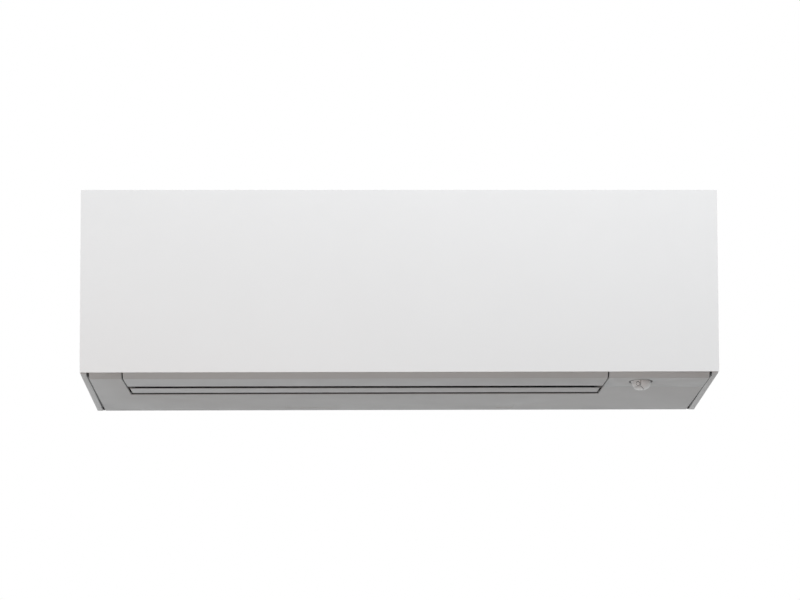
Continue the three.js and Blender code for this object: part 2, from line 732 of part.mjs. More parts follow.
function sideCovers() {
  const front = PANEL_BACK + GAP;
  const outline = [
    [front, (PANEL_DROP * -front) / DEPTH],
    [0, 0],
    [0, HEIGHT],
    [PANEL_PIVOT.y + 5, HEIGHT],
    [front, PANEL_PIVOT.z + 1.2],
  ];
  const pocket = PANEL_PIN_R + RUN;
  for (const [name, x0, side] of [['left_side_cover', -HALF, -1], ['right_side_cover', SIDE_INNER, 1]]) {
    const inner = side * SIDE_INNER;
    const ends = [inner - side, inner + side * PIN_DEPTH].sort((a, b) => a - b);
    const cut = [rodX(pocket, ends[0], ends[1], PANEL_PIVOT.y, PANEL_PIVOT.z, 10)];
    piece(name, build([prismX(outline, x0, x0 + SIDE_THICK)], cut), FINISHES.side);
  }
}

// ---------------------------------------------------------------- front panel

function frontPanel() {
  const arm = new THREE.Group();
  arm.position.set(0, PANEL_PIVOT.y, PANEL_PIVOT.z);
  unit.add(arm);
  const front = -DEPTH - PANEL_PIVOT.y;
  const back = PANEL_BACK - PANEL_PIVOT.y;
  const top = HEIGHT - PANEL_PIVOT.z;
  const bottom = PANEL_DROP - PANEL_PIVOT.z;
  const slab = block(-HALF, HALF, front, back, bottom, top);
  const cut = [];
  const columns = 4;
  const rows = 2;
  const rim = 4;
  const rib = 3;
  const cellWide = (WIDTH - 2 * rim - (columns - 1) * rib) / columns;
  const cellHigh = (top - bottom - 2 * rim - (rows - 1) * rib) / rows;
  for (let i = 0; i < columns; i += 1) {
    for (let j = 0; j < rows; j += 1) {
      const x = -HALF + rim + i * (cellWide + rib);
      const z = bottom + rim + j * (cellHigh + rib);
      cut.push(block(x, x + cellWide, front + PANEL_SKIN, back + 1, z, z + cellHigh));
    }
  }
  const joined = [build([slab], cut)];
  for (const side of [-1, 1]) {
    const outer = side * (SIDE_INNER - KNUCKLE_GAP);
    const inner = outer - side * KNUCKLE_WIDTH;
    const [x0, x1] = [Math.min(outer, inner), Math.max(outer, inner)];
    joined.push(block(x0, x1, back - 1, 0, -KNUCKLE_R, KNUCKLE_R));
    joined.push(rodX(KNUCKLE_R, x0, x1, 0, 0, 10));
    const tip = side * (SIDE_INNER + PIN_DEPTH - 1);
    const [p0, p1] = [Math.min(inner, tip), Math.max(inner, tip)];
    joined.push(rodX(PANEL_PIN_R, p0, p1, 0, 0, 10));
  }
  piece('front_panel', build(joined), FINISHES.white, arm);
}

// ---------------------------------------------------------------- front frame and top cover

// The post stands behind the frame's rails, between the right window and the control box's window.
function frontFrame() {
  const front = FRAME_BACK - SHEET;
  const top = LIP_BOTTOM - GAP;
  const joined = [block(-WALL_OUT, WALL_OUT, front, FRAME_BACK, FRAME_BOTTOM, top)];
  const low = PAN_RIM + 12;
  const high = HEIGHT - 30;
  const bar = FILTER_MID_BAR / 2;
  const postLeft = INLET_RIGHT;
  const postRight = BOX_LEFT - 4;
  const windows = [
    [INLET_LEFT, INLET_MIDDLE - bar],
    [INLET_MIDDLE + bar, BOX_RIGHT - 6],
  ];
  const cut = windows.map(([x0, x1]) => block(x0, x1, front - 1, FRAME_BACK + 1, low, high));
  for (const x of SCREWS) {
    cut.push(rodY(SCREW_R + GAP, front - 1, FRAME_BACK + 1, x, SCREW_HEIGHT, 8));
  }
  piece('front_frame', build(joined, cut), FINISHES.inner);
  const postFront = FRAME_BACK + GAP;
  const post = [
    block(postLeft, postRight, postFront, postFront + SHEET, low - POST_LAP, high + POST_LAP),
    block(postLeft, postLeft + SHEET, front, postFront + SHEET, low + GAP, high - GAP),
    block(postRight - SHEET, postRight, front, postFront + SHEET, low + GAP, high - GAP),
  ];
  piece('frame_post', build(post), FINISHES.inner);
}

function topCover() {
  const front = FRAME_BACK - SHEET;
  const skin = [
    [front, LIP_BOTTOM],
    [front, PANEL_PIVOT.z + 1.5],
    [PANEL_PIVOT.y + 3.2, TOP_FACE],
    [-GAP, TOP_FACE],
    [-GAP, TOP_FACE - TOP_THICK],
    [FRAME_BACK + 2, TOP_FACE - TOP_THICK],
    [FRAME_BACK, TOP_FACE - 5],
    [FRAME_BACK, LIP_BOTTOM],
  ];
  const joined = [prismX(skin.reverse(), -WALL_OUT, WALL_OUT)];
  const cut = [];
  const bar = FILTER_MID_BAR / 2;
  const recesses = [
    [INLET_LEFT, INLET_MIDDLE - bar],
    [INLET_MIDDLE + bar, INLET_RIGHT],
  ];
  const wells = recesses.map(([x0, x1]) => block(
    x0 - SHEET, x1 + SHEET, INLET_FRONT - SHEET, INLET_REAR + SHEET, LIP_BOTTOM, TOP_FACE - 1,
  ));
  for (const [x0, x1] of recesses) {
    cut.push(block(x0, x1, INLET_FRONT, INLET_REAR, RECESS_FLOOR - SHEET + GRILLE_THICK, TOP_FACE + 1));
    const count = Math.round((x1 - x0) / SLOT_PITCH);
    const pitch = (x1 - x0) / count;
    for (let i = 0; i < count; i += 1) {
      const a = x0 + i * pitch + GRILLE_BAR / 2;
      cut.push(block(a, a + pitch - GRILLE_BAR, INLET_FRONT + 4, INLET_REAR - 4, LIP_BOTTOM - 1, TOP_FACE));
    }
  }
  for (const side of [-1, 1]) {
    const inner = side * (WALL_OUT - KNUCKLE_POCKET);
    const outer = side * (WALL_OUT + 1);
    const [x0, x1] = [Math.min(inner, outer), Math.max(inner, outer)];
    cut.push(block(x0, x1, front - 1, PANEL_PIVOT.y + 5, PANEL_PIVOT.z - 5, TOP_FACE + 1));
  }
  piece('top_cover', build([...joined, ...wells], cut), FINISHES.side);
}

function filters() {
  const bar = FILTER_MID_BAR / 2;
  const sides = [
    ['filter_left', INLET_LEFT, INLET_MIDDLE - bar],
    ['filter_right', INLET_MIDDLE + bar, INLET_RIGHT],
  ];
  const seat = RECESS_FLOOR - SHEET + GRILLE_THICK + GAP;
  for (const [name, left, right] of sides) {
    const frame = new THREE.Group();
    frame.position.set((left + right) / 2, (INLET_FRONT + INLET_REAR) / 2, seat);
    unit.add(frame);
    const halfWide = (right - left) / 2 - 0.6;
    const halfDeep = (INLET_REAR - INLET_FRONT) / 2 - 0.6;
    const joined = [block(-halfWide, halfWide, -halfDeep, halfDeep, 0, FILTER_THICK)];
    joined.push(block(-18, 18, -halfDeep + 0.5, -halfDeep + 7, 1, FILTER_THICK + 1.6));
    const cut = [];
    const columns = 4;
    const rows = 2;
    const rib = 2.4;
    const cellWide = (2 * halfWide - 2 * FILTER_RIM - (columns - 1) * rib) / columns;
    const cellDeep = (2 * halfDeep - 2 * FILTER_RIM - (rows - 1) * rib) / rows;
    for (let i = 0; i < columns; i += 1) {
      for (let j = 0; j < rows; j += 1) {
        const x = -halfWide + FILTER_RIM + i * (cellWide + rib);
        const y = -halfDeep + FILTER_RIM + j * (cellDeep + rib);
        cut.push(block(x, x + cellWide, y, y + cellDeep, FILTER_NET, FILTER_THICK + 1));
      }
    }
    piece(name, build(joined, cut), FINISHES.dark, frame);
  }
}

// ---------------------------------------------------------------- drain pan

function drainPan() {
  const section = [
    [TONGUE.y, TONGUE.z],
    [TONGUE.y - 3, TONGUE.z + 5.5],
    [TONGUE.y - 6, TONGUE.z + 5.5],
    [COIL_INNER_Y - 3, TONGUE.z - 7],
    [PAN_FRONT + SHEET, PAN_LIP_HEIGHT + 7],
    [PAN_FRONT + SHEET, PAN_RIM],
    [PAN_FRONT, PAN_RIM],
    [PAN_FRONT, PAN_LIP_HEIGHT],
    [PAN_LOW.y, PAN_LOW.z],
  ];
  const left = END_LEFT.in + GAP;
  const right = END_RIGHT.in - GAP;
  const joined = [prismX(section, left, right)];
  const endWall = [
    [TONGUE.y - 6, TONGUE.z],
    [TONGUE.y - 14, PAN_RIM],
    [PAN_FRONT, PAN_RIM],
    [PAN_FRONT, PAN_LIP_HEIGHT],
    [PAN_LOW.y, PAN_LOW.z],
    [TONGUE.y - 6, TONGUE.z - 4.5],
  ];
  joined.push(prismX(endWall, left, left + SHEET));
  joined.push(prismX(endWall, right - SHEET, right));
  joined.push(rodX(SPIGOT_R, left - SPIGOT_LENGTH, left + 4, SPIGOT.y, SPIGOT.z, 12));
  joined.push(rodX(SPIGOT_R, right - 4, right + SPIGOT_LENGTH, SPIGOT.y, SPIGOT.z, 12));
  const bore = SPIGOT_R - 2;
  const cut = [
    rodX(bore, left - SPIGOT_LENGTH - 1, left + 14, SPIGOT.y, SPIGOT.z, 12),
    rodX(bore, right - 14, right + SPIGOT_LENGTH + 1, SPIGOT.y, SPIGOT.z, 12),
    block(left + 4, left + 14, SPIGOT.y - 4, SPIGOT.y + 4, SPIGOT.z, SPIGOT.z + 12),
    block(right - 14, right - 4, SPIGOT.y - 4, SPIGOT.y + 4, SPIGOT.z, SPIGOT.z + 12),
  ];
  const socket = rodZ(VANE_PIN_R + RUN, -1, VANE_SOCKET, 0, 0, 8);
  for (const { frame } of vaneFrames()) {
    cut.push(socket.clone().applyMatrix4(frame.matrix));
  }
  for (const x of SCREWS) {
    cut.push(rodY(SCREW_R + GAP, PAN_FRONT - 1, PAN_FRONT + SHEET + 2, x, SCREW_HEIGHT, 8));
  }
  piece('drain_pan', build(joined, cut), FINISHES.inner);
  const plugFrom = right + 6;
  const plug = [
    rodX(bore - GAP, plugFrom, right + SPIGOT_LENGTH + 1, SPIGOT.y, SPIGOT.z, 12),
    rodX(SPIGOT_R, right + SPIGOT_LENGTH + GAP, right + SPIGOT_LENGTH + 4, SPIGOT.y, SPIGOT.z, 12),
  ];
  piece('drain_plug', build(plug), FINISHES.rubber);
}

// ---------------------------------------------------------------- vertical vanes

// The duct's upper wall runs from the tongue to the pan's lip, and the vanes stand square to it.
function vaneFrames() {
  const run = { y: PAN_LOW.y - TONGUE.y, z: PAN_LOW.z - TONGUE.z };
  const length = Math.hypot(run.y, run.z);
  const along = { y: run.y / length, z: run.z / length };
  const tilt = Math.atan2(-along.z, -along.y);
  const frames = [];
  const middle = (END_LEFT.in + END_RIGHT.in) / 2;
  for (const [bank, side] of [['left', -1], ['right', 1]]) {
    for (let i = 0; i < VANES; i += 1) {
      const step = side < 0 ? i - VANES + 1 : i;
      const frame = new THREE.Group();
      frame.position.set(
        middle + side * (BANK_GAP / 2) + step * VANE_PITCH,
        TONGUE.y + along.y * VANE_FROM_TONGUE,
        TONGUE.z + along.z * VANE_FROM_TONGUE,
      );
      frame.rotation.x = tilt;
      frame.updateMatrix();
      frames.push({ frame, name: `vane_${bank}_${i + 1}` });
    }
  }
  return frames;
}

function vaneGeometry() {
  const blade = [
    [VANE_BACK, -VANE_CLEAR],
    [-VANE_FRONT, -VANE_CLEAR],
    [-VANE_FRONT + 4, -16],
    [VANE_BACK - 10, -VANE_REACH],
    [VANE_BACK, -VANE_REACH],
  ];
  const half = VANE_THICK / 2;
  return build([
    prismX(blade.reverse(), -half, half),
    rodZ(VANE_PIN_R, -5, VANE_SOCKET - 1, 0, 0, 8),
    rodZ(LINK_PIN_R, -VANE_REACH - LINK_PIN_LENGTH, -VANE_REACH + 2, 0, LINK_REACH, 6),
  ]);
}

function vanesAndLinks() {
  const shape = vaneGeometry();
  const banks = { left: [], right: [] };
  for (const { frame, name } of vaneFrames()) {
    unit.add(frame);
    piece(name, shape, FINISHES.dark, frame);
    banks[name.split('_')[1]].push(frame);
  }
  for (const [bank, frames] of Object.entries(banks)) {
    const first = frames[0].position.x;
    const last = frames[frames.length - 1].position.x;
    const holder = new THREE.Group();
    holder.position.set((first + last) / 2, frames[0].position.y, frames[0].position.z);
    holder.rotation.x = frames[0].rotation.x;
    unit.add(holder);
    const half = (last - first) / 2;
    const top = -VANE_REACH - GAP;
    const low = top - LINK_THICK;
    const joined = [
      block(-half - 8, half + 8, LINK_REACH - 5.7, LINK_REACH + 3.5, low, top),
      block(VANE_PITCH / 2 - 5, VANE_PITCH / 2 + 5, LINK_REACH - 3, LINK_REACH + 1, low - 5, low + 1),
    ];
    const cut = frames.map((frame) => {
      const x = frame.position.x - holder.position.x;
      const wide = LINK_PIN_R + LINK_PLAY;
      return block(x - wide, x + wide, LINK_REACH - 3.7, LINK_REACH + 1.5, low - 1, top + 1);
    });
    piece(`link_rod_${bank}`, build(joined, cut), FINISHES.dark, holder);
  }
}

// ---------------------------------------------------------------- flaps

// A flap's body round its hinge, with ends that run alongside the outlet's ends.
function flapBody(local, pivot, endGap) {
  const front = Math.min(...local.map(([y]) => y)) - 1;
  const rear = Math.max(...local.map(([y]) => y)) + 1;
  const tall = 40;
  const slants = [-1, 1].map((side) => {
    const edge = (y) => outletEnd(side, y + pivot.y) - side * endGap;
    const far = edge(front) + side;
    return prismZ([[edge(front), front], [edge(rear), rear], [far, rear], [far, front]], -tall, tall);
  });
  const left = outletEnd(-1, front + pivot.y) + endGap;
  const right = outletEnd(1, front + pivot.y) - endGap;
  return build([prismX(local, left, right)], slants);
}

function flap(name, section, pivot, lift, endGap) {
  const hinge = new THREE.Group();
  hinge.position.set(0, pivot.y, pivot.z);
  unit.add(hinge);
  const local = section.map(([y, z]) => [y - pivot.y, z - pivot.z]);
  const left = OUTLET_LEFT + endGap;
  const right = OUTLET_RIGHT - endGap;
  const joined = [
    flapBody(local, pivot, endGap),
    rodX(LUG_R, left, left + LUG_THICK, 0, 0, 12),
    rodX(LUG_R, right - LUG_THICK, right, 0, 0, 12),
    rodX(FLAP_PIN_R, END_LEFT.out - 1, left + 1, 0, 0, 12),
    rodX(FLAP_PIN_R, right - 1, END_RIGHT.out + 5, 0, 0, 12),
    block(left, left + LUG_THICK, -LUG_WEB, LUG_WEB, 1.5 - lift, 0),
    block(right - LUG_THICK, right, -LUG_WEB, LUG_WEB, 1.5 - lift, 0),
  ];
  piece(name, build(joined), FINISHES.grey, hinge);
}

function flaps() {
  const large = [
    [CHAMFER_TOP.y + 0.2, CHAMFER_TOP.z - 0.3],
    [FOOT.y, FOOT.z],
    [-LARGE_FLAP_REAR, underside(-LARGE_FLAP_REAR)],
    [-LARGE_FLAP_REAR - 0.4, underside(-LARGE_FLAP_REAR) + 2.2],
    [-LARGE_FLAP_REAR - 19.5, underside(-LARGE_FLAP_REAR - 19.5) + 6.2],
    [FOOT.y + 10, underside(FOOT.y + 10) + 6.6],
    [FOOT.y - 0.2, FOOT.z + 8.3],
    [CHAMFER_TOP.y + 2, CHAMFER_TOP.z + 0.9],
  ];
  flap('large_flap', large, LARGE_PIVOT, LARGE_PIVOT_LIFT, LARGE_END_GAP);
  const small = [
    [-SMALL_FLAP_FRONT, underside(-SMALL_FLAP_FRONT)],
    [-SMALL_FLAP_REAR, underside(-SMALL_FLAP_REAR)],
    [-SMALL_FLAP_REAR - 0.6, underside(-SMALL_FLAP_REAR) + 2],
    [-SMALL_FLAP_REAR - 12, underside(-SMALL_FLAP_REAR - 12) + 4],
    [-SMALL_FLAP_FRONT + 2, underside(-SMALL_FLAP_FRONT + 2) + 1.5],
  ];
  flap('small_flap', small, SMALL_PIVOT, SMALL_PIVOT_LIFT, SMALL_END_GAP);
}

// A geared stepper motor outside the right end plate, with a pocket for a flap's pin.
function flapMotor(name, pivot, offset) {
  const x = END_RIGHT.out + GAP;
  const joined = [
    rodX(STEPPER_R, x, x + STEPPER_LENGTH, pivot.y, pivot.z + offset, 16),
    rodX(MOTOR_BOSS_R, x, x + 6, pivot.y, pivot.z, 10),
  ];
  const cut = [rodX(FLAP_PIN_R + RUN, x - 1, x + 5.4, pivot.y, pivot.z, 12)];
  piece(name, build(joined, cut), FINISHES.steel);
}

// ---------------------------------------------------------------- heat exchanger

function slabSection(line) {
  const half = COIL_THICK / 2;
  return [
    besideSlab(line, 0, half),
    besideSlab(line, 0, -half),
    besideSlab(line, 1, -half),
    besideSlab(line, 1, half),
  ];
}

function tubeSheetSection() {
  const half = COIL_THICK / 2;
  const [lower, upper, rear] = Object.values(SLABS);
  const outer = [lower, upper, rear].flatMap((line) => [0, 1].map((end) => besideSlab(line, end, half)));
  const inner = [lower, upper, rear].flatMap((line) => [0, 1].map((end) => besideSlab(line, end, -half)));
  return [...inner, ...outer.reverse()];
}

function heatExchanger() {
  const left = END_LEFT.out + TUBE_SHEET_THICK + GAP;
  const right = END_RIGHT.out - TUBE_SHEET_THICK - GAP;
  for (const [name, line] of Object.entries(SLABS)) {
    piece(name, prismX(slabSection(line), left, right), FINISHES.fins);
  }
  for (const [name, x, side] of [['tube_sheet_left', END_LEFT.out, -1], ['tube_sheet_right',
    END_RIGHT.out - TUBE_SHEET_THICK, 1]]) {
    const joined = [prismX(tubeSheetSection(), x, x + TUBE_SHEET_THICK)];
    for (const line of Object.values(SLABS)) {
      joined.push(...returnBends(line, x + TUBE_SHEET_THICK / 2, side));
    }
    piece(name, build(joined), FINISHES.steel);
  }
}

// Hairpin bends that join neighbouring tubes of each row, outside a tube sheet.
function returnBends(line, x, side) {
  const length = Math.hypot(line[1][0] - line[0][0], line[1][1] - line[0][1]);
  const pairs = Math.floor((length - TUBE_PITCH / 2) / (2 * TUBE_PITCH));
  const shift = side > 0 ? TUBE_PITCH : 0;
  const bends = [];
  for (const row of [-TUBE_ROWS / 2, TUBE_ROWS / 2]) {
    for (let i = 0; i < pairs; i += 1) {
      const start = TUBE_PITCH / 2 + shift / 2 + i * 2 * TUBE_PITCH;
      const a = besideSlab(line, start / length, row);
      const b = besideSlab(line, (start + TUBE_PITCH) / length, row);
      const path = new THREE.CubicBezierCurve3(
        new THREE.Vector3(x, a[0], a[1]),
        new THREE.Vector3(x + side * BEND_OUT, a[0], a[1]),
        new THREE.Vector3(x + side * BEND_OUT, b[0], b[1]),
        new THREE.Vector3(x, b[0], b[1]),
      );
      bends.push(sweep(path, TUBE_R, 6, 4));
    }
  }
  return bends;
}

// ---------------------------------------------------------------- fan

function crossFlowFan() {
  const axis = new THREE.Group();
  axis.position.set(0, FAN.y, FAN.z);
  unit.add(axis);
  const left = END_LEFT.in + FAN_END_GAP;
  const right = END_RIGHT.in - FAN_END_GAP;
  const span = right - left - DISC_THICK;
  const joined = [];
  for (let i = 0; i < DISCS; i += 1) {
    const x = left + (span * i) / (DISCS - 1);
    joined.push(rodX(FAN_R, x, x + DISC_THICK, 0, 0, BLADES));
  }
  const inner = FAN_R - BLADE_DEPTH;
  const lean = THREE.MathUtils.degToRad(BLADE_LEAN);
  for (let i = 0; i < BLADES; i += 1) {
    const a = (2 * Math.PI * i) / BLADES;
    const b = a + lean;
    const outerR = FAN_R - 1.5;
    const half = BLADE_THICK / 2;
    const points = [
      [inner * Math.cos(a) + half * Math.sin(a), inner * Math.sin(a) - half * Math.cos(a)],
      [outerR * Math.cos(b) + half * Math.sin(b), outerR * Math.sin(b) - half * Math.cos(b)],
      [outerR * Math.cos(b) - half * Math.sin(b), outerR * Math.sin(b) + half * Math.cos(b)],
      [inner * Math.cos(a) - half * Math.sin(a), inner * Math.sin(a) + half * Math.cos(a)],
    ];
    joined.push(prismX(points, left + 0.5, right - 0.5));
  }
  joined.push(rodX(HUB_R, left, left + HUB_LENGTH, 0, 0, 12));
  joined.push(rodX(HUB_R, right - HUB_LENGTH, right, 0, 0, 12));
  const cut = [];
  for (let i = 1; i < DISCS - 1; i += 1) {
    const x = left + (span * i) / (DISCS - 1);
    cut.push(rodX(inner - 2, x - 1, x + DISC_THICK + 1, 0, 0, 12));
  }
  cut.push(rodX(SHAFT_R + GAP, left - 1, left + HUB_LENGTH - 2, 0, 0, 12));
  cut.push(rodX(SHAFT_R + GAP, right - HUB_LENGTH + 2, right + 1, 0, 0, 12));
  piece('cross_flow_fan', build(joined, cut), FINISHES.black, axis);
  piece('fan_shaft', rodX(SHAFT_R, END_LEFT.out - 6, left + HUB_LENGTH - 3, 0, 0, 12), FINISHES.steel, axis);
  const motorFace = END_RIGHT.out + MOTOR_FROM_END_PLATE;
  const shaft = rodX(SHAFT_R, right - HUB_LENGTH + 3, motorFace + MOTOR_LENGTH / 2, 0, 0, 12);
  piece('motor_shaft', shaft, FINISHES.steel, axis);
}

// A ring round the X axis, as [x, r] corners.
function ringX(corners, y, z, sides) {
  const points = [...corners, corners[0]].reverse().map(([x, r]) => new THREE.Vector2(r, x));
  const geometry = new THREE.LatheGeometry(points, sides);
  return geometry.rotateZ(-Math.PI / 2).translate(0, y, z);
}

function fanSupports() {
  const mountOuter = BEARING_HOLE_R - GAP;
  const bushOuter = BUSH_R;
  const x0 = END_LEFT.out - 2;
  const x1 = END_LEFT.in + 1.2;
  piece('bearing_mount', ringX([
    [x0, bushOuter + GAP], [x1, bushOuter + GAP], [x1, mountOuter], [x0, mountOuter],
  ], FAN.y, FAN.z, 16), FINISHES.rubber);
  piece('fan_bearing', ringX([
    [x0 - 1, SHAFT_R + RUN], [x1 + 0.6, SHAFT_R + RUN], [x1 + 0.6, bushOuter], [x0 - 1, bushOuter],
  ], FAN.y, FAN.z, 16), FINISHES.brass);
  const m0 = END_RIGHT.out + MOTOR_FROM_END_PLATE;
  const m1 = m0 + MOTOR_LENGTH;
  const motor = build(
    [rodX(MOTOR_R, m0, m1, FAN.y, FAN.z, 20), rodX(12, m0 - 4, m0 + 1, FAN.y, FAN.z, 12)],
    [rodX(SHAFT_R + RUN, m0 - 5, m0 + MOTOR_LENGTH / 2 + 1, FAN.y, FAN.z, 12)],
  );
  piece('fan_motor', motor, FINISHES.inner);
  const ringIn = MOTOR_R + GAP;
  const ringOut = ringIn + 2.6;
  const b0 = m0 + 6;
  const b1 = m1 - 8;
  const joined = [rodX(ringOut, b0, b1, FAN.y, FAN.z, 20)];
  for (const degrees of [0, 90, 180, 270]) {
    const a = THREE.MathUtils.degToRad(degrees);
    const leg = block(END_RIGHT.out + GAP, b0 + 2, ringIn + 0.4, ringOut + 1.2, -7, 7);
    joined.push(leg.rotateX(a).translate(0, FAN.y, FAN.z));
  }
  const cut = [rodX(ringIn, b0 - 1, b1 + 1, FAN.y, FAN.z, 20)];
  piece('motor_bracket', build(joined, cut), FINISHES.dark);
}

// ---------------------------------------------------------------- electrical parts

function electrics() {
  const front = -DEPTH + BOX_BEHIND;
  const rear = -BOX_REAR;
  const wall = BOX_WALL;
  const box = build(
    [block(BOX_LEFT, BOX_RIGHT, front, rear, BOX_BOTTOM, BOX_TOP)],
    [block(BOX_LEFT + wall, BOX_RIGHT - wall, front - 1, rear - wall, BOX_BOTTOM + wall, BOX_TOP - wall)],
  );
  piece('control_box', box, FINISHES.inner);
  const lidBack = front - GAP;
  const lidFront = lidBack - wall;
  const button = { x: (BOX_LEFT + BOX_RIGHT) / 2 + 12, z: BOX_TOP - 22 };
  const lid = build(
    [block(BOX_LEFT, BOX_RIGHT, lidFront, lidBack, BOX_BOTTOM, BOX_TOP)],
    [rodY(BUTTON_R + RUN, lidFront - 1, lidBack + 1, button.x, button.z, 12)],
  );
  piece('control_box_lid', lid, FINISHES.inner);
  const plunger = build([
    rodY(BUTTON_R, lidFront - BUTTON_PROUD, lidBack + 2, button.x, button.z, 12),
    rodY(BUTTON_R + 1.6, lidBack + GAP, lidBack + 1.8, button.x, button.z, 12),
  ]);
  piece('manual_button', plunger, FINISHES.white);
  const boardX = BOX_LEFT + wall + 6;
  const inside = [BOX_LEFT + wall + GAP, boardX + 0.5];
  const switchFront = lidBack + 2 + BUTTON_TRAVEL + GAP;
  const board = build([
    block(boardX, boardX + 1.6, front + 8, rear - 8, BOX_BOTTOM + 34, BOX_TOP - 6),
    block(inside[0], inside[1], front + 14, front + 20, BOX_BOTTOM + 44, BOX_BOTTOM + 50),
    block(inside[0], inside[1], rear - 20, rear - 14, BOX_TOP - 20, BOX_TOP - 14),
    block(boardX + 1, boardX + 22, front + 30, front + 62, BOX_BOTTOM + 60, BOX_BOTTOM + 88),
    block(boardX + 1, boardX + 16, front + 24, front + 50, BOX_BOTTOM + 110, BOX_BOTTOM + 132),
    rodX(8, boardX + 1, boardX + 30, front + 92, BOX_BOTTOM + 80, 12),
    rodX(6, boardX + 1, boardX + 24, front + 92, BOX_BOTTOM + 112, 12),
    block(boardX + 1, button.x + 5, switchFront, switchFront + 6, button.z - 4, button.z + 4),
    block(boardX, boardX + 1.6, switchFront, front + 9, button.z - 8, button.z + 8),
  ]);
  piece('control_board', board, FINISHES.board);
  const tb = { x0: BOX_LEFT + wall + 8, x1: BOX_RIGHT - wall - 6, z: BOX_BOTTOM + wall + GAP };
  const ways = 4;
  const cut = [];
  for (let i = 0; i < ways; i += 1) {
    const pitch = (tb.x1 - tb.x0) / ways;
    const x = tb.x0 + pitch * (i + 0.5);
    cut.push(block(x - pitch / 2 + 1.2, x + pitch / 2 - 1.2, front + 5, front + 14, tb.z + 8, tb.z + 30));
  }
  piece('terminal_block', build([block(tb.x0, tb.x1, front + 6, front + 26, tb.z, tb.z + 22)], cut),
    FINISHES.black);
}

function thermistor() {
  const face = COIL_FRONT_Y - COIL_THICK / 2 - GAP;
  const x = OUTLET_RIGHT - 40;
  const z = COIL_BOTTOM + 36;
  piece('air_thermistor', build([
    block(x - 8, x + 8, face - 2, face, z - 4, z + 4),
    rodX(2.6, x - 15, x + 15, face - 3.4, z, 8),
  ]), FINISHES.rubber);
}

// ---------------------------------------------------------------- sensor

function domeProfile(shrink) {
  const r = SENSOR_DOME_R - shrink;
  const drop = SENSOR_DROP - shrink;
  const points = [];
  const steps = 6;
  for (let i = 0; i <= steps; i += 1) {
    const a = (Math.PI / 2) * (i / steps);
    points.push(new THREE.Vector2(r * Math.sin(a) ** 0.9, -drop * Math.cos(a) ** 0.8));
  }
  return points;
}

function lathe(points, sides) {
  return new THREE.LatheGeometry(points, sides).rotateX(Math.PI / 2);
}

function sensorGroup() {
  const frame = sensorFrame();
  unit.add(frame);
  const inner = SENSOR_DOME_R + RUN;
  const flange = SHEET + GAP;
  const ringPoints = [
    [inner, RING_SET_IN], [inner, flange + 1.5], [SENSOR_RING_R + 2.6, flange + 1.5],
    [SENSOR_RING_R + 2.6, flange], [SENSOR_RING_R - GAP, flange], [SENSOR_RING_R - GAP, RING_SET_IN],
    [inner, RING_SET_IN],
  ].reverse().map(([r, z]) => new THREE.Vector2(r, z));
  piece('sensor_ring', lathe(ringPoints, 24), FINISHES.dark, frame);
  const outline = [
    ...domeProfile(0),
    new THREE.Vector2(SENSOR_DOME_R, 4),
    new THREE.Vector2(TURRET_SHAFT_R, 4),
    new THREE.Vector2(TURRET_SHAFT_R, TURRET_SHAFT_TOP),
    new THREE.Vector2(0, TURRET_SHAFT_TOP),
  ];
  const dome = solidOf(lathe(outline, 20));
  const core = solidOf(lathe([
    ...domeProfile(SENSOR_STEP),
    new THREE.Vector2(SENSOR_DOME_R - SENSOR_STEP, 1.5),
    new THREE.Vector2(0, 1.5),
  ], 20));
  const reach = SENSOR_DOME_R + 2;
  const bite = solidOf(block(-reach, SENSOR_STEP_X, -reach, reach, SENSOR_STEP_LOW, 0.2)).subtract(core);
  const aim = new THREE.Vector3(...LENS_AIM).normalize();
  const seat = lensPlace(aim);
  const lensHole = solidOf(barAlong(SENSOR_WINDOW_R + GAP, seat, aim, -2.4, 4));
  piece('sensor_turret', geometryOf(dome.subtract(bite).subtract(lensHole)), FINISHES.lens, frame);
  piece('sensor_lens', barAlong(SENSOR_WINDOW_R, seat, aim, -2.1, 0.9), FINISHES.window, frame);
  const body = build([
    rodZ(SENSOR_MOTOR_R, TURRET_SHAFT_TOP + GAP, SENSOR_MOTOR_TOP, 0, 0, 16),
    block(-BOSS_OUT - 2.5, BOSS_OUT + 2.5, -4, 4, BOSS_TOP + GAP, BOSS_TOP + GAP + 1.5),
  ]);
  piece('sensor_motor', body, FINISHES.steel, frame);
}

// The lens lies on the dome's stepped flank, out along its aim.
function lensPlace(aim) {
  const flat = Math.hypot(aim.x, aim.y);
  const r = SENSOR_DOME_R - SENSOR_STEP - 0.9;
  return new THREE.Vector3((aim.x / flat) * r, (aim.y / flat) * r, LENS_HEIGHT);
}

// A cylinder through a place along a direction, from one distance to another.
function barAlong(r, place, aim, from, to) {
  const geometry = new THREE.CylinderGeometry(r, r, to - from, 12);
  geometry.translate(0, (from + to) / 2, 0);
  const turn = new THREE.Quaternion().setFromUnitVectors(new THREE.Vector3(0, 1, 0), aim);
  return geometry.applyQuaternion(turn).translate(place.x, place.y, place.z);
}

// ---------------------------------------------------------------- pipes and screws

// A place on a slab's middle line, at a distance back from its far end.
function fromSlabEnd(line, distance) {
  const length = Math.hypot(line[1][0] - line[0][0], line[1][1] - line[0][1]);
  return besideSlab(line, 1 - distance / length, 0);
}

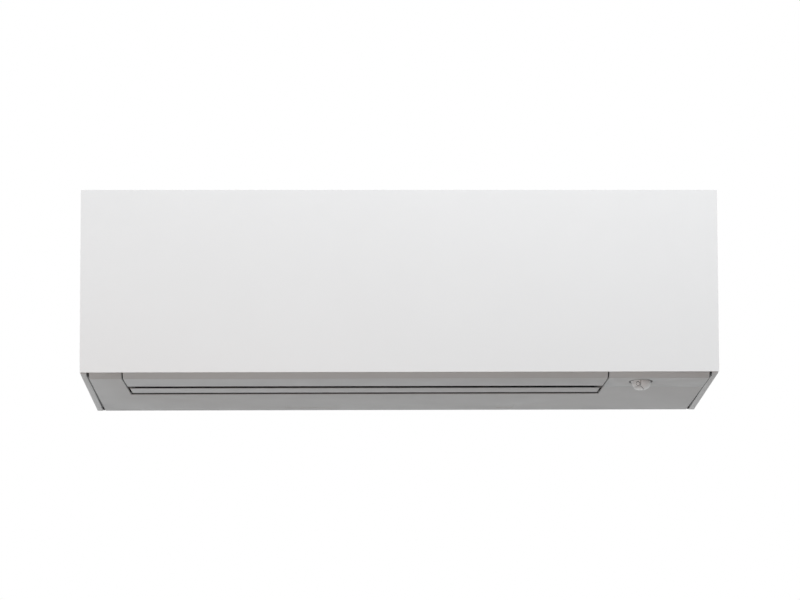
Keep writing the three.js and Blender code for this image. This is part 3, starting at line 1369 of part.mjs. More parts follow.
function pipes() {
  const start = END_RIGHT.out + GAP;
  const gasAt = fromSlabEnd(SLABS.coil_rear, GAS_FROM_END);
  const liquidAt = fromSlabEnd(SLABS.coil_rear, LIQUID_FROM_END);
  const gas = [
    [start, gasAt[0], gasAt[1]],
    [start + 20, gasAt[0], gasAt[1]],
    [start + 20, -GAS_FROM_WALL, PIPE_HEIGHT],
    [PIPE_END_X, -GAS_FROM_WALL, PIPE_HEIGHT],
  ];
  const liquid = [
    [start, liquidAt[0], liquidAt[1]],
    [start + 36, liquidAt[0], liquidAt[1]],
    [start + 36, -LIQUID_FROM_WALL, PIPE_HEIGHT + 12],
    [PIPE_END_X, -LIQUID_FROM_WALL, PIPE_HEIGHT + 12],
  ];
  piece('gas_pipe', pipeAlong(gas, GAS_R, 16), FINISHES.copper);
  piece('liquid_pipe', pipeAlong(liquid, LIQUID_R, 14), FINISHES.copper);
  const nuts = [
    ['gas_flare_nut', GAS_R, -GAS_FROM_WALL, PIPE_HEIGHT, GAS_NUT_R],
    ['liquid_flare_nut', LIQUID_R, -LIQUID_FROM_WALL, PIPE_HEIGHT + 12, LIQUID_NUT_R],
  ];
  for (const [name, r, y, z, outer] of nuts) {
    const x0 = PIPE_END_X + 2;
    const geometry = build(
      [rodX(outer, x0, x0 + NUT_LENGTH, y, z, 6)],
      [rodX(r + GAP, x0 - 1, x0 + NUT_LENGTH + 1, y, z, 12)],
    );
    piece(name, geometry, FINISHES.brass);
  }
}

function screws() {
  const face = FRAME_BACK - SHEET - GAP;
  SCREWS.forEach((x, i) => {
    const geometry = build([
      rodY(SCREW_HEAD_R, face - 1.6, face, x, SCREW_HEIGHT, 10),
      rodY(SCREW_R, face - 0.5, PAN_FRONT + SHEET + 1.5, x, SCREW_HEIGHT, 8),
    ]);
    piece(`frame_screw_${i + 1}`, geometry, FINISHES.steel);
  });
}

// ---------------------------------------------------------------- assembly

mountingPlate();
chassis();
bottomCover();
sensorCover();
sideCovers();
frontFrame();
topCover();
drainPan();
heatExchanger();
fanSupports();
electrics();
flapMotor('large_flap_motor', LARGE_PIVOT, LARGE_STEPPER_OFFSET);
flapMotor('small_flap_motor', SMALL_PIVOT, SMALL_STEPPER_OFFSET);
thermistor();
pipes();
screws();
frontPanel();
flaps();
vanesAndLinks();
crossFlowFan();
filters();
sensorGroup();

export default unit;
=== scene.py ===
"""Looks for the wall-mounted split air conditioner indoor unit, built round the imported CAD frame.

Metres, in the CAD frame: X along the wall, Y into the wall, Z up.
"""
import json
import math

import bmesh
import bpy
from mathutils import Matrix, Vector


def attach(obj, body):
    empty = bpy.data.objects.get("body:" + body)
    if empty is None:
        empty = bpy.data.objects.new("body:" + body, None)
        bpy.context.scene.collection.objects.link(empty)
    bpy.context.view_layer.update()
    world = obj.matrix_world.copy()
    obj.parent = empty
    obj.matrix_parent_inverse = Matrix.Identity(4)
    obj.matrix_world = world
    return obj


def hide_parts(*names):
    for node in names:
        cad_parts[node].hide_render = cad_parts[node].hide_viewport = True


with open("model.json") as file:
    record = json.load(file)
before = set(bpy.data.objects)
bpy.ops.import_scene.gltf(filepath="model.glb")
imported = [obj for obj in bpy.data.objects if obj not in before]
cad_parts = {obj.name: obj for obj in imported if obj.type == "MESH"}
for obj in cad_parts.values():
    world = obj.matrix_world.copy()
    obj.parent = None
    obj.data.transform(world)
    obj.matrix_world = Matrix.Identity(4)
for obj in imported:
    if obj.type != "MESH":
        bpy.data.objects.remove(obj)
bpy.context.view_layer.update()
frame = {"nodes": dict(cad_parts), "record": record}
NODES = frame["nodes"]
BODY_OF = {
    node: body
    for body, members in frame["record"]["behaviour"]["bodies"].items()
    for node in members
}
SLOT_OF = {part["node"]: part["material_slot"] for part in frame["record"]["subparts"]}


# ------------------------------------------------------------------ camera

PHOTO_WIDTH = 800
FOCAL_PIXELS = 2263.7
FILM_WIDTH = 36  # mm
CAMERA_TURN = (0.024, 0.0742, -0.003)  # yaw, pitch and roll in radians
CAMERA_PLACE = (-0.074162, -3.304565, -0.232182)
CLIP_END = 100


def aim_camera():
    """The photograph's viewpoint, fitted to the panel's corners and the underside's rear edge."""
    yaw, pitch, roll = CAMERA_TURN
    level = math.cos(pitch)
    forward = Vector((math.sin(yaw) * level, math.cos(yaw) * level, math.sin(pitch)))
    right = Vector((math.cos(yaw), -math.sin(yaw), 0.0))
    up = right.cross(forward)
    side = math.cos(roll) * right + math.sin(roll) * up
    top = side.cross(forward)
    data = bpy.data.cameras.new("camera")
    data.sensor_width = FILM_WIDTH
    data.lens = FOCAL_PIXELS / PHOTO_WIDTH * FILM_WIDTH
    data.clip_end = CLIP_END
    camera = bpy.data.objects.new("camera", data)
    bpy.context.scene.collection.objects.link(camera)
    turn = Matrix((side, top, -forward)).transposed().to_4x4()
    camera.matrix_world = Matrix.Translation(CAMERA_PLACE) @ turn
    bpy.context.scene.camera = camera


aim_camera()


# ------------------------------------------------------------------ materials

MIX_FIRST, MIX_SECOND = 6, 7  # a Mix node's two colour inputs
MIX_RESULT = 2  # and its colour output


class Shader:
    """A material with one Principled shader, and short ways to add nodes to it."""

    def __init__(self, name, roughness, metallic=0.0):
        self.material = bpy.data.materials.new(name)
        self.material.use_nodes = True
        self.tree = self.material.node_tree
        self.surface = self.tree.nodes["Principled BSDF"]
        self.surface.inputs["Roughness"].default_value = roughness
        self.surface.inputs["Metallic"].default_value = metallic
        self.place = self.tree.nodes.new("ShaderNodeTexCoord").outputs["Object"]

    def link(self, source, target):
        self.tree.links.new(source, target)

    def stretched(self, scale):
        """Coordinates scaled apart along the three axes."""
        node = self.tree.nodes.new("ShaderNodeMapping")
        node.inputs["Scale"].default_value = scale
        self.link(self.place, node.inputs["Vector"])
        return node.outputs["Vector"]

    def noise(self, scale, detail=2.0, vector=None):
        """Soft noise with so many features to the metre."""
        node = self.tree.nodes.new("ShaderNodeTexNoise")
        node.inputs["Scale"].default_value = scale
        node.inputs["Detail"].default_value = detail
        self.link(vector or self.place, node.inputs["Vector"])
        return node.outputs["Fac"]

    def cells(self, scale, output="Distance", vector=None):
        """Cells like crystals or pebbles."""
        node = self.tree.nodes.new("ShaderNodeTexVoronoi")
        node.inputs["Scale"].default_value = scale
        self.link(vector or self.place, node.inputs["Vector"])
        return node.outputs[output]

    def lines(self, scale):
        """Even bands along X."""
        node = self.tree.nodes.new("ShaderNodeTexWave")
        node.bands_direction = "X"
        node.inputs["Scale"].default_value = scale
        self.link(self.place, node.inputs["Vector"])
        return node.outputs["Fac"]

    def spread(self, value, low, high, start=0.3, end=0.7):
        """A value carried from start..end over to low..high."""
        node = self.tree.nodes.new("ShaderNodeMapRange")
        node.inputs["From Min"].default_value = start
        node.inputs["From Max"].default_value = end
        node.inputs["To Min"].default_value = low
        node.inputs["To Max"].default_value = high
        self.link(value, node.inputs["Value"])
        return node.outputs["Result"]

    def add(self, a, b):
        node = self.tree.nodes.new("ShaderNodeMath")
        node.operation = "ADD"
        self.link(a, node.inputs[0])
        self.link(b, node.inputs[1])
        return node.outputs["Value"]

    def colours(self, share, first, second):
        """Mixes two colours by a share and sets them as the base colour."""
        node = self.tree.nodes.new("ShaderNodeMix")
        node.data_type = "RGBA"
        node.inputs[MIX_FIRST].default_value = (*first, 1)
        node.inputs[MIX_SECOND].default_value = (*second, 1)
        self.link(share, node.inputs["Factor"])
        self.link(node.outputs[MIX_RESULT], self.surface.inputs["Base Color"])

    def rough(self, value, low, high):
        self.link(self.spread(value, low, high), self.surface.inputs["Roughness"])

    def bump(self, height, strength, distance):
        node = self.tree.nodes.new("ShaderNodeBump")
        node.inputs["Strength"].default_value = strength
        node.inputs["Distance"].default_value = distance
        self.link(height, node.inputs["Height"])
        self.link(node.outputs["Normal"], self.surface.inputs["Normal"])


def shade(colour, factor):
    return tuple(min(1.0, channel * factor) for channel in colour)


GRAIN = 2600.0
PIT_SHARE = 0.45  # the grain's pits are this many times as dense as its noise
GRAIN_STRENGTH = 0.35
GLOSS_DRIFT = 0.05


def moulded(name, colour, roughness, depth=0.00006, drift=0.02):
    """Moulded plastic: a faint drift of colour, a spark-eroded grain and uneven gloss."""
    s = Shader(name, roughness)
    drifting = s.noise(5.0, 3.0)
    s.colours(s.spread(drifting, 0, 1), shade(colour, 1 - drift), shade(colour, 1 + drift))
    s.rough(s.noise(38.0, 3.0), roughness - GLOSS_DRIFT, roughness + GLOSS_DRIFT)
    s.bump(s.add(s.noise(GRAIN), s.cells(GRAIN * PIT_SHARE)), GRAIN_STRENGTH, depth)
    return s.material


def sheet_steel(name, colour):
    """Galvanised sheet: crystals of zinc, drawn lines and a few dull patches."""
    s = Shader(name, 0.42, metallic=1.0)
    crystals = s.cells(130.0, "Color")
    spangle = s.spread(s.noise(60.0, 4.0, crystals), 0, 1)
    s.colours(spangle, shade(colour, 0.86), shade(colour, 1.12))
    s.rough(s.noise(90.0, 4.0), 0.32, 0.5)
    s.bump(s.noise(900.0, 3.0, s.stretched((1.0, 1.0, 6.0))), 0.12, 0.00005)
    return s.material


def finned(name, colour):
    """Coated aluminium fin stock, with the collar marks and burrs of its press."""
    s = Shader(name, 0.38, metallic=1.0)
    s.colours(s.spread(s.noise(160.0, 3.0), 0, 1), shade(colour, 0.85), shade(colour, 1.08))
    s.rough(s.noise(240.0, 2.0), 0.3, 0.48)
    s.bump(s.noise(700.0, 3.0), 0.2, 0.00008)
    return s.material


def tube_copper(name, colour):
    """Drawn copper with brown tarnish in patches."""
    s = Shader(name, 0.3, metallic=1.0)
    s.colours(s.spread(s.noise(34.0, 5.0), 0, 1), shade(colour, 0.62), shade(colour, 1.05))
    s.rough(s.noise(70.0, 4.0), 0.22, 0.45)
    s.bump(s.noise(1200.0, 2.0), 0.1, 0.00004)
    return s.material


def turned_brass(name, colour):
    """Brass with fine turning rings."""
    s = Shader(name, 0.32, metallic=1.0)
    s.colours(s.spread(s.noise(80.0, 4.0), 0, 1), shade(colour, 0.8), shade(colour, 1.06))
    s.rough(s.noise(120.0, 3.0), 0.25, 0.42)
    s.bump(s.lines(900.0), 0.15, 0.00004)
    return s.material


def rubber(name, colour):
    """Matt rubber with a dusty bloom."""
    s = Shader(name, 0.85)
    s.colours(s.spread(s.noise(45.0, 4.0), 0, 1), colour, shade(colour, 1.8))
    s.rough(s.noise(150.0, 2.0), 0.78, 0.92)
    s.bump(s.noise(1600.0, 3.0), 0.3, 0.0001)
    return s.material


def solder_mask(name, colour):
    """A circuit board's green mask, with fine tracks showing through it."""
    s = Shader(name, 0.35)
    tracks = s.cells(260.0, vector=s.stretched((1.0, 1.0, 0.35)))
    s.colours(s.spread(tracks, 0, 1, 0.2, 0.5), shade(colour, 1.7), colour)
    s.bump(tracks, 0.2, 0.0001)
    return s.material


PANEL_WHITE = (0.80, 0.805, 0.81)
# the side covers are the panel's white plastic; this darker copy is painted shade, as their sides
# and lower edges face away from the light
SIDE_WHITE_SHADED = (0.70, 0.705, 0.705)
# the underside's colour: partly a light grey of its own, partly painted shade on faces turned down
UNDERSIDE_GREY_AND_SHADE = (0.674, 0.676, 0.674)
DARK = (0.045, 0.047, 0.05)
INNER = (0.56, 0.575, 0.585)
NEAR_BLACK = (0.018, 0.018, 0.02)
WINDOW = (0.95, 0.95, 0.95)
DOME_WHITE = (0.93, 0.93, 0.93)

MATERIALS = {
    "panel_white": moulded("panel_white", PANEL_WHITE, 0.42, depth=0.00003, drift=0.006),
    # side_white: painted shade, a darker copy of the panel white
    "side_white": moulded("side_white", SIDE_WHITE_SHADED, 0.45, depth=0.00004, drift=0.01),
    # underside_grey: partly grey of its own, partly painted shade
    "underside_grey": moulded("underside_grey", UNDERSIDE_GREY_AND_SHADE, 0.55, depth=0.00006, drift=0.012),
    "dark_plastic": moulded("dark_plastic", DARK, 0.5, drift=0.12),
    "inner_plastic": moulded("inner_plastic", INNER, 0.55, drift=0.03),
    "black_plastic": moulded("black_plastic", NEAR_BLACK, 0.45, drift=0.15),
    "zinc_steel": sheet_steel("zinc_steel", (0.56, 0.58, 0.60)),
    "aluminium_fins": finned("aluminium_fins", (0.62, 0.66, 0.69)),
    "copper_tube": tube_copper("copper_tube", (0.72, 0.34, 0.18)),
    "brass_fittings": turned_brass("brass_fittings", (0.74, 0.56, 0.25)),
    "black_rubber": rubber("black_rubber", (0.016, 0.016, 0.017)),
    "circuit_board": solder_mask("circuit_board", (0.02, 0.11, 0.05)),
    "sensor_window": moulded("sensor_window", WINDOW, 0.25, depth=0.00001, drift=0.02),
    "sensor_white": moulded("sensor_white", DOME_WHITE, 0.3, depth=0.00002, drift=0.008),
}


def dress(obj, material):
    obj.data.materials.clear()
    obj.data.materials.append(material)


for node, obj in NODES.items():
    dress(obj, MATERIALS[SLOT_OF[node]])


# ------------------------------------------------------------------ pieces that refine CAD nodes

def new_piece(name, mesh, slot, body, *nodes):
    """Adds a mesh as a piece that rides on a body and stands for the CAD nodes named."""
    obj = bpy.data.objects.new(name, mesh)
    bpy.context.scene.collection.objects.link(obj)
    dress(obj, MATERIALS[slot])
    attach(obj, body)
    if nodes:
        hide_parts(*nodes)
    return obj


SAME_POINT = 1e-5  # the CAD meshes' points closer than this are one
SAME_CORNER = 1e-6  # and so are the corners of the meshes made here
FLAT = math.radians(1.0)
SMOOTH = math.radians(32)


def tidy_copy(node):
    """The CAD node's mesh, with its points joined and its flat faces made whole."""
    bm = bmesh.new()
    bm.from_mesh(NODES[node].data)
    bmesh.ops.remove_doubles(bm, verts=bm.verts, dist=SAME_POINT)
    bmesh.ops.dissolve_limit(bm, angle_limit=FLAT, verts=bm.verts, edges=bm.edges)
    mesh = bpy.data.meshes.new(node + "_shape")
    bm.to_mesh(mesh)
    bm.free()
    return mesh


def soften(obj, width, segments=2, smooth=SMOOTH):
    """Rounds an object's sharp edges, or keeps them at width 0, and shades the rest smooth."""
    obj.data.polygons.foreach_set("use_smooth", [True] * len(obj.data.polygons))
    obj.data.update()
    if width:
        bevel = obj.modifiers.new("rounded_edges", "BEVEL")
        bevel.width = width
        bevel.segments = segments
        bevel.limit_method = "ANGLE"
        bevel.angle_limit = smooth
        bevel.use_clamp_overlap = True
        bevel.harden_normals = True
    else:
        obj.data.set_sharp_from_angle(angle=smooth)


def refine(node, width, segments=2):
    """A copy of a CAD node with rounded edges, in the node's place."""
    piece = new_piece(node + "_finish", tidy_copy(node), SLOT_OF[node], BODY_OF[node], node)
    soften(piece, width, segments)


# each node's rounding in metres, and its steps
ROUNDED = {
    "front_panel": (0.0007, 4),
    "left_side_cover": (0.0009, 3),
    "right_side_cover": (0.0009, 3),
    "top_cover": (0.0004, 2),
    "bottom_cover": (0.0005, 2),
    "sensor_cover": (0.0004, 2),
    "large_flap": (0.0004, 2),
    "small_flap": (0.0004, 2),
    "front_frame": (0.0004, 2),
    "control_box_lid": (0.0005, 2),
    "manual_button": (0.0005, 3),
    "control_box": (0.0005, 2),
    "drain_pan": (0.0004, 1),
    "gas_flare_nut": (0.0007, 2),
    "liquid_flare_nut": (0.0006, 2),
}
for node, (width, segments) in ROUNDED.items():
    refine(node, width, segments)

VANE_EDGE = 0.0003
VANES = [f"vane_{bank}_{i}" for bank in ("left", "right") for i in range(1, 6)]
for node in VANES + ["link_rod_left", "link_rod_right"]:
    refine(node, VANE_EDGE)

SMOOTHED = [
    "gas_pipe", "liquid_pipe", "fan_motor", "drain_plug", "bearing_mount", "fan_bearing",
    "fan_shaft", "motor_shaft", "sensor_motor", "large_flap_motor", "small_flap_motor",
]
for node in SMOOTHED:
    refine(node, 0)


# ------------------------------------------------------------------ heat exchanger

FIN_PITCH = 0.0022
FIN_THICK = 0.00022
# the dark core is painted shade, standing for the dark depth between the fins
SHADE_CORE_SHARE = 0.78  # of a slab's section, dark between the fins


def box_of(node):
    """A CAD node's lowest and highest corners, as vectors."""
    placed = [NODES[node].matrix_world @ point.co for point in NODES[node].data.vertices]
    low = Vector(min(point[i] for point in placed) for i in range(3))
    high = Vector(max(point[i] for point in placed) for i in range(3))
    return low, high


def middle_of(places):
    """The mean of a collection of (y, z)."""
    return (sum(y for y, _ in places) / len(places), sum(z for _, z in places) / len(places))


def slab_outline(node):
    """The slab's four corners as (y, z), in order round its section."""
    world = NODES[node].matrix_world
    placed = [world @ point.co for point in NODES[node].data.vertices]
    places = {(round(point.y, 5), round(point.z, 5)) for point in placed}
    middle_y, middle_z = middle_of(places)
    return sorted(places, key=lambda place: math.atan2(place[1] - middle_z, place[0] - middle_y))


def prisms(name, outline, spans):
    """One mesh of prisms that share an outline in Y and Z, each over its span of X."""
    points, faces = [], []
    count = len(outline)
    for x0, x1 in spans:
        start = len(points)
        points += [(x0, y, z) for y, z in outline] + [(x1, y, z) for y, z in outline]
        faces.append(tuple(start + i for i in reversed(range(count))))
        faces.append(tuple(start + count + i for i in range(count)))
        for i in range(count):
            j = (i + 1) % count
            faces.append((start + i, start + j, start + count + j, start + count + i))
    mesh = bpy.data.meshes.new(name)
    mesh.from_pydata(points, [], faces)
    return mesh


def fin_pack(node):
    """Thin fins in place of a heat exchanger slab, over a dark core that is painted shade deep
    between the fins.
    """
    low, high = box_of(node)
    outline = slab_outline(node)
    count = int((high.x - low.x - FIN_THICK) / FIN_PITCH)
    step = (high.x - low.x - FIN_THICK) / count
    spans = [(low.x + i * step, low.x + i * step + FIN_THICK) for i in range(count + 1)]
    fins = prisms(node + "_fins", outline, spans)
    new_piece(node + "_fins", fins, "aluminium_fins", "unit", node)
    middle_y, middle_z = middle_of(outline)
    inner = [
        (middle_y + (y - middle_y) * SHADE_CORE_SHARE, middle_z + (z - middle_z) * SHADE_CORE_SHARE)
        for y, z in outline
    ]
    # the dark core: painted shade deep between the fins
    core = prisms(node + "_core", inner, [(low.x + FIN_PITCH, high.x - FIN_PITCH)])
    new_piece(node + "_core", core, "dark_plastic", "unit")


for node in ("coil_front_lower", "coil_front_upper", "coil_rear"):
    fin_pack(node)


# ------------------------------------------------------------------ filters

FILTER_RIM = 0.009
FILTER_RIB = 0.0024
FILTER_COLUMNS = 4
FILTER_ROWS = 2
FILTER_BODY = 0.005  # thickness of the frame's bars
THREAD_PITCH = 0.0025
THREAD = 0.00035
THREAD_HEIGHT = 0.0006  # above the filter's lower face
THREAD_INSET = 0.002
CROSSING = 0.6  # of a thread, that one layer of threads lies above the other
BAR_EDGE = 0.0003
PULL_HALF = 0.018
PULL_Y = (0.0005, 0.007)  # the pull's front and rear, from the filter's front edge
PULL_LIFT = 0.0012
PULL_EDGE = 0.0006
BOX_FACES = (
    (3, 2, 1, 0), (4, 5, 6, 7), (0, 1, 5, 4), (1, 2, 6, 5), (2, 3, 7, 6), (3, 0, 4, 7),
)


def pierced_plate(name, xs, ys, holes, z0, z1):
    """A plate on a grid of X and Y lines, open at the grid cells listed."""
    bm = bmesh.new()
    for i in range(len(xs) - 1):
        for j in range(len(ys) - 1):
            if (i, j) not in holes:
                (x0, x1), (y0, y1) = xs[i:i + 2], ys[j:j + 2]
                ring = ((x0, y0), (x1, y0), (x1, y1), (x0, y1))
                bm.faces.new([bm.verts.new((x, y, z1)) for x, y in ring])
    bmesh.ops.remove_doubles(bm, verts=bm.verts, dist=SAME_CORNER)
    grown = bmesh.ops.extrude_face_region(bm, geom=bm.faces[:])
    moved = [part for part in grown["geom"] if isinstance(part, bmesh.types.BMVert)]
    bmesh.ops.translate(bm, verts=moved, vec=(0, 0, z0 - z1))
    bmesh.ops.recalc_face_normals(bm, faces=bm.faces)
    mesh = bpy.data.meshes.new(name)
    bm.to_mesh(mesh)
    bm.free()
    return mesh


def box_mesh(name, boxes):
    """One mesh of upright boxes, each given by its low and high corners."""
    points, faces = [], []
    for (x0, y0, z0), (x1, y1, z1) in boxes:
        start = len(points)
        ring = ((x0, y0), (x1, y0), (x1, y1), (x0, y1))
        points += [(x, y, z) for z in (z0, z1) for x, y in ring]
        faces += [tuple(start + i for i in face) for face in BOX_FACES]
    mesh = bpy.data.meshes.new(name)
    mesh.from_pydata(points, [], faces)
    return mesh


def lines_across(low, high, rim, cells):
    """Edges of the cells between two rims, with a rib between neighbours."""
    wide = (high - low - 2 * rim - (cells - 1) * FILTER_RIB) / cells
    edges = [low]
    for i in range(cells):
        start = low + rim + i * (wide + FILTER_RIB)
        edges += [start, start + wide]
    return edges + [high]


def woven_filter(side):
    """A filter with an open frame and a net of crossed threads."""
    node = "filter_" + side
    low, high = box_of(node)
    xs = lines_across(low.x, high.x, FILTER_RIM, FILTER_COLUMNS)
    ys = lines_across(low.y, high.y, FILTER_RIM, FILTER_ROWS)
    holes = {(1 + 2 * i, 1 + 2 * j) for i in range(FILTER_COLUMNS) for j in range(FILTER_ROWS)}
    plate = pierced_plate(node + "_frame", xs, ys, holes, low.z, low.z + FILTER_BODY)
    frame_piece = new_piece(node + "_frame", plate, "dark_plastic", node, node)
    soften(frame_piece, BAR_EDGE)
    middle = (low.x + high.x) / 2
    tab = (
        (middle - PULL_HALF, low.y + PULL_Y[0], low.z + PULL_LIFT),
        (middle + PULL_HALF, low.y + PULL_Y[1], high.z),
    )
    pull = new_piece(node + "_pull", box_mesh(node + "_pull", [tab]), "dark_plastic", node)
    soften(pull, PULL_EDGE, 3)
    threads = []
    base = low.z + THREAD_HEIGHT
    inset = THREAD_INSET
    for i in range(1, int((high.x - low.x) / THREAD_PITCH)):
        x = low.x + i * THREAD_PITCH
        threads.append(((x, low.y + inset, base), (x + THREAD, high.y - inset, base + THREAD)))
    across = base + THREAD * CROSSING
    for i in range(1, int((high.y - low.y) / THREAD_PITCH)):
        y = low.y + i * THREAD_PITCH
        threads.append(
            ((low.x + inset, y, across), (high.x - inset, y + THREAD, across + THREAD))
        )
    new_piece(node + "_net", box_mesh(node + "_net", threads), "dark_plastic", node)


for side in ("left", "right"):
    woven_filter(side)


# ------------------------------------------------------------------ sensor

SENSOR_X, SENSOR_Y = 0.3325, -0.190
SLOPE = 37.5 / 214  # the underside is this much higher for each metre towards the room
HALF_HEIGHT = 0.1475
CIRCLE = 72  # sides of the dome

DOME_R = 0.0136
DOME_DROP = 0.0115
DOME_TOP = 0.004
DOME_STEPS = 18
DOME_WIDEN = 0.9  # powers that make the dome fuller than a half ellipse
DOME_DEEPEN = 0.8
DOME_EDGE = 0.0002
DOME_SMOOTH = math.radians(28)
CORE_TOP = DOME_TOP - 0.002
PAST_DOME = DOME_R + 0.002  # a cutter's reach

FLANK_STEP = 0.0011
FLANK_X = -0.0022
FLANK_LOW = -0.009
FLANK_HIGH = 0.0002

SEAM_WIDE = 0.0006
SEAM_X = -0.0016
SEAM_BEND = -0.0084
SEAM_TOP = -0.0004
SEAM_TURN = math.radians(-62)
SEAM_LENGTH = 0.0058  # of its lower part
SEAM_PAST = 0.001
SEAM_DEPTH = 0.0012
# depth of the dark liner in the seam's groove, which is painted shade
SHADE_LINER_DEPTH = 0.0005

LENS_R = 0.0024
LENS_HEIGHT = -0.0047
LENS_AIM = Vector((-0.42, -0.86, -0.3)).normalized()
LENS_SEAT = DOME_R - FLANK_STEP - 0.0009  # from the dome's axis
LENS_SIDES = 40
LENS_SPAN = (-0.0021, 0.0009)
LENS_CROWN = 0.0006
LENS_SMOOTH = math.radians(45)
# a dark ring round the window, set below the surface: painted shade of the recess the lens sits in
SHADE_RING_WIDE = 0.0006
SHADE_RING_SPAN = (-0.0022, -0.0002)
HOLE_WIDE = 0.0007
HOLE_SPAN = (-0.0024, 0.004)

SENSOR_PLACE = (
    Matrix.Translation((SENSOR_X, SENSOR_Y, -SENSOR_Y * SLOPE - HALF_HEIGHT))
    @ Matrix.Rotation(-math.atan(SLOPE), 4, "X")
)


def turned(name, profile, sides):
    """A closed mesh from a profile of (radius, height) turned round the Z axis."""
    bm = bmesh.new()
    rings = []
    for radius, height in profile:
        if radius < SAME_CORNER:
            rings.append([bm.verts.new((0, 0, height))])
            continue
        ring = []
        for i in range(sides):
            angle = 2 * math.pi * i / sides
            across, along = radius * math.cos(angle), radius * math.sin(angle)
            ring.append(bm.verts.new((across, along, height)))
        rings.append(ring)
    for lower, upper in zip(rings, rings[1:]):
        for i in range(sides):
            j = (i + 1) % sides
            corners = [lower[i % len(lower)], lower[j % len(lower)]]
            corners += [upper[j % len(upper)], upper[i % len(upper)]]
            bm.faces.new(list(dict.fromkeys(corners)))
    bmesh.ops.recalc_face_normals(bm, faces=bm.faces)
    mesh = bpy.data.meshes.new(name)
    bm.to_mesh(mesh)
    bm.free()
    return mesh


def dome_profile(shrink, top):
    """The dome's section as (radius, height), from its lowest point up to its flat top."""
    radius, drop = DOME_R - shrink, DOME_DROP - shrink
    profile = []
    for i in range(DOME_STEPS + 1):
        angle = math.pi / 2 * i / DOME_STEPS
        across = radius * math.sin(angle) ** DOME_WIDEN
        profile.append((across, -drop * math.cos(angle) ** DOME_DEEPEN))
    return profile + [(radius, top), (0, top)]


def loose(mesh):
    """An object for a mesh that is still being cut to shape."""
    obj = bpy.data.objects.new(mesh.name, mesh)
    bpy.context.scene.collection.objects.link(obj)
    return obj


def core(depth):
    """The dome shrunk by a depth, as a cutter."""
    return loose(turned("core", dome_profile(depth, CORE_TOP), CIRCLE))


def carve(target, cutter, operation="DIFFERENCE"):
    """Applies a boolean to the target and removes the cutter."""
    modifier = target.modifiers.new("carve", "BOOLEAN")
    modifier.operation = operation
    modifier.solver = "EXACT"
    modifier.object = cutter
    bpy.context.view_layer.update()
    seen = bpy.context.evaluated_depsgraph_get()
    carved = bpy.data.meshes.new_from_object(target.evaluated_get(seen))
    target.modifiers.clear()
    target.data = carved
    bpy.data.objects.remove(cutter)
    return target


def lens_bar(name, radius, span, rounded=0.0):
    """A bar along the lens's aim, with a softly crowned outer end."""
    start, end = span
    profile = [(0, start), (radius, start), (radius, end - rounded)]
    profile += [(radius * 0.94, end - rounded * 0.35), (radius * 0.72, end), (0, end)]
    mesh = turned(name, profile, LENS_SIDES)
    flat = math.hypot(LENS_AIM.x, LENS_AIM.y)
    seat = (LENS_AIM.x / flat * LENS_SEAT, LENS_AIM.y / flat * LENS_SEAT, LENS_HEIGHT)
    turn = Vector((0, 0, 1)).rotation_difference(LENS_AIM).to_matrix().to_4x4()
    mesh.transform(Matrix.Translation(seat) @ turn)
    return mesh


def seam_places():
    """Where the dome's seam runs: straight down, then aslant across its lower end."""
    half = SEAM_WIDE / 2
    straight = ((-half, -PAST_DOME, SEAM_BEND), (half, 0, SEAM_TOP))
    upright = box_mesh("sensor_seam_upright", [straight])
    upright.transform(Matrix.Translation((SEAM_X, 0, 0)))
    tilted = ((-half, -PAST_DOME, -SEAM_LENGTH), (half, SEAM_PAST, 0))
    aslant = box_mesh("sensor_seam_aslant", [tilted])
    bend = Matrix.Translation((SEAM_X, 0, SEAM_BEND))
    aslant.transform(bend @ Matrix.Rotation(SEAM_TURN, 4, "Y"))
    return upright, aslant


def cut_to_core(place, depth, operation):
    """The part of a seam's slab outside, or inside, the dome shrunk by a depth."""
    slab = loose(place.copy())
    slab.data.name = place.name
    return carve(slab, core(depth), operation)


def sensor():
    """The turning sensor's dome with its stepped left flank and its window."""
    dome = loose(turned("dome", dome_profile(0, DOME_TOP), CIRCLE))
    flank = ((-PAST_DOME, -PAST_DOME, FLANK_LOW), (FLANK_X, PAST_DOME, FLANK_HIGH))
    bite = loose(box_mesh("bite", [flank]))
    carve(bite, core(FLANK_STEP))
    carve(dome, bite)
    carve(dome, loose(lens_bar("hole", LENS_R + HOLE_WIDE, HOLE_SPAN)))
    for place in seam_places():
        carve(dome, cut_to_core(place, SEAM_DEPTH, "DIFFERENCE"))
        # a dark liner in the seam's groove: painted shade, for the narrow groove in shadow
        shade_liner = cut_to_core(place, SHADE_LINER_DEPTH, "INTERSECT")
        shade_strip = shade_liner.data
        bpy.data.objects.remove(shade_liner)
        shade_strip.transform(SENSOR_PLACE)
        new_piece(shade_strip.name, shade_strip, "dark_plastic", "sensor_turret")
    shell = dome.data
    bpy.data.objects.remove(dome)
    shell.transform(SENSOR_PLACE)
    body = "sensor_turret"
    turret = new_piece("sensor_turret_finish", shell, "sensor_white", body, "sensor_turret")
    soften(turret, DOME_EDGE, 2, DOME_SMOOTH)
    window = lens_bar("sensor_lens_finish", LENS_R, LENS_SPAN, LENS_CROWN)
    window.transform(SENSOR_PLACE)
    pane = new_piece("sensor_lens_finish", window, "sensor_window", body, "sensor_lens")
    soften(pane, 0, 2, LENS_SMOOTH)
    # the dark ring round the window is painted shade of its recess
    collar = lens_bar("sensor_lens_shade_ring", LENS_R + SHADE_RING_WIDE, SHADE_RING_SPAN)
    collar.transform(SENSOR_PLACE)
    new_piece("sensor_lens_shade_ring", collar, "dark_plastic", "sensor_turret")


sensor()


# ------------------------------------------------------------------ lights and surroundings

AMBIENT = 0.19
FLOOR_Z = -1.25
FLOOR_HALF = 5.0
FLOOR_GLOW = 0.62
WHITE = (1, 1, 1, 1)
SKY = (0.99, 0.995, 1.0, 1)
FLOOR_GREYS = ((0.42, 0.42, 0.42), (0.44, 0.44, 0.44))


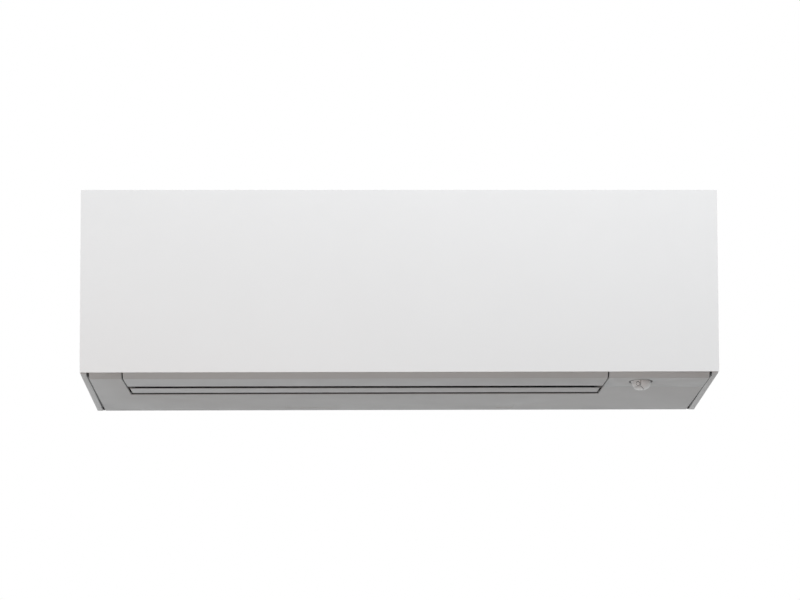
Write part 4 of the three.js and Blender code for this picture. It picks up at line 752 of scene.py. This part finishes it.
def area_lamp(name, place, target, size, power, colour):
    data = bpy.data.lights.new(name, "AREA")
    data.shape = "RECTANGLE"
    data.size, data.size_y = size
    data.energy = power
    data.color = colour
    lamp = bpy.data.objects.new(name, data)
    bpy.context.scene.collection.objects.link(lamp)
    lamp.location = place
    aim = Vector(target) - Vector(place)
    lamp.rotation_euler = aim.to_track_quat("-Z", "Y").to_euler()


def seen_by(tree, *kinds):
    """1 for the kinds of ray named, and 0 for the rest."""
    path = tree.nodes.new("ShaderNodeLightPath")
    value = path.outputs[kinds[0]]
    for kind in kinds[1:]:
        either = tree.nodes.new("ShaderNodeMath")
        either.operation = "MAXIMUM"
        tree.links.new(value, either.inputs[0])
        tree.links.new(path.outputs[kind], either.inputs[1])
        value = either.outputs[0]
    return value


def lit(tree, kind, colour, strength):
    """A plain background or emission shader's output."""
    node = tree.nodes.new(kind)
    node.inputs["Color"].default_value = colour
    node.inputs["Strength"].default_value = strength
    return node.outputs[0]


def either_shader(tree, share, first, second):
    """The first shader where the share is 0, and the second where it is 1."""
    mix = tree.nodes.new("ShaderNodeMixShader")
    tree.links.new(share, mix.inputs["Fac"])
    tree.links.new(first, mix.inputs[1])
    tree.links.new(second, mix.inputs[2])
    return mix.outputs[0]


def backdrop():
    """A surround that is white to the camera, in reflections and through glass, and lights the
    object at a plain level."""
    world = bpy.data.worlds.new("surround")
    bpy.context.scene.world = world
    world.use_nodes = True
    tree = world.node_tree
    tree.nodes.clear()
    white = lit(tree, "ShaderNodeBackground", WHITE, 1.0)
    light = lit(tree, "ShaderNodeBackground", SKY, AMBIENT)
    shown = seen_by(tree, "Is Camera Ray", "Is Transmission Ray", "Is Glossy Ray")
    out = tree.nodes.new("ShaderNodeOutputWorld")
    tree.links.new(either_shader(tree, shown, light, white), out.inputs["Surface"])


def floor():
    """A pale floor well below the unit, white to the camera but for soft shadows."""
    mesh = bpy.data.meshes.new("floor")
    ring = ((-1, -1), (1, -1), (1, 1), (-1, 1))
    points = [(x * FLOOR_HALF, y * FLOOR_HALF, FLOOR_Z) for x, y in ring]
    mesh.from_pydata(points, [], [(0, 1, 2, 3)])
    obj = bpy.data.objects.new("floor", mesh)
    bpy.context.scene.collection.objects.link(obj)
    s = Shader("pale_floor", 0.9)
    s.colours(s.spread(s.noise(3.0), 0, 1), *FLOOR_GREYS)
    tree = s.tree
    glow = lit(tree, "ShaderNodeEmission", WHITE, FLOOR_GLOW)
    dark = lit(tree, "ShaderNodeEmission", WHITE, 0.0)
    shown = seen_by(tree, "Is Camera Ray", "Is Glossy Ray")
    both = tree.nodes.new("ShaderNodeAddShader")
    tree.links.new(s.surface.outputs[0], both.inputs[0])
    tree.links.new(either_shader(tree, shown, dark, glow), both.inputs[1])
    tree.links.new(both.outputs[0], tree.nodes["Material Output"].inputs["Surface"])
    dress(obj, s.material)


backdrop()
floor()
# name, place, target, size, watts and colour
LAMPS = (
    ("key", (-1.6, -8.8, 8.8), (0, -0.1, 0), (6.0, 4.0), 1495, (0.957, 0.985, 1.0)),
    ("low_left", (-2.4, -1.2, -1.0), (0, -0.1, -0.1), (1.2, 1.2), 4, (1.0, 0.93, 0.86)),
    ("warm_front", (-0.4, -3.6, -1.1), (0, -0.2, -0.15), (2.4, 0.4), 7, (1.0, 0.42, 0.16)),
)
for lamp in LAMPS:
    area_lamp(*lamp)
bpy.context.scene.view_settings.view_transform = "Standard"


def corners(box):
    return [list(map(float, corner)) for corner in box]
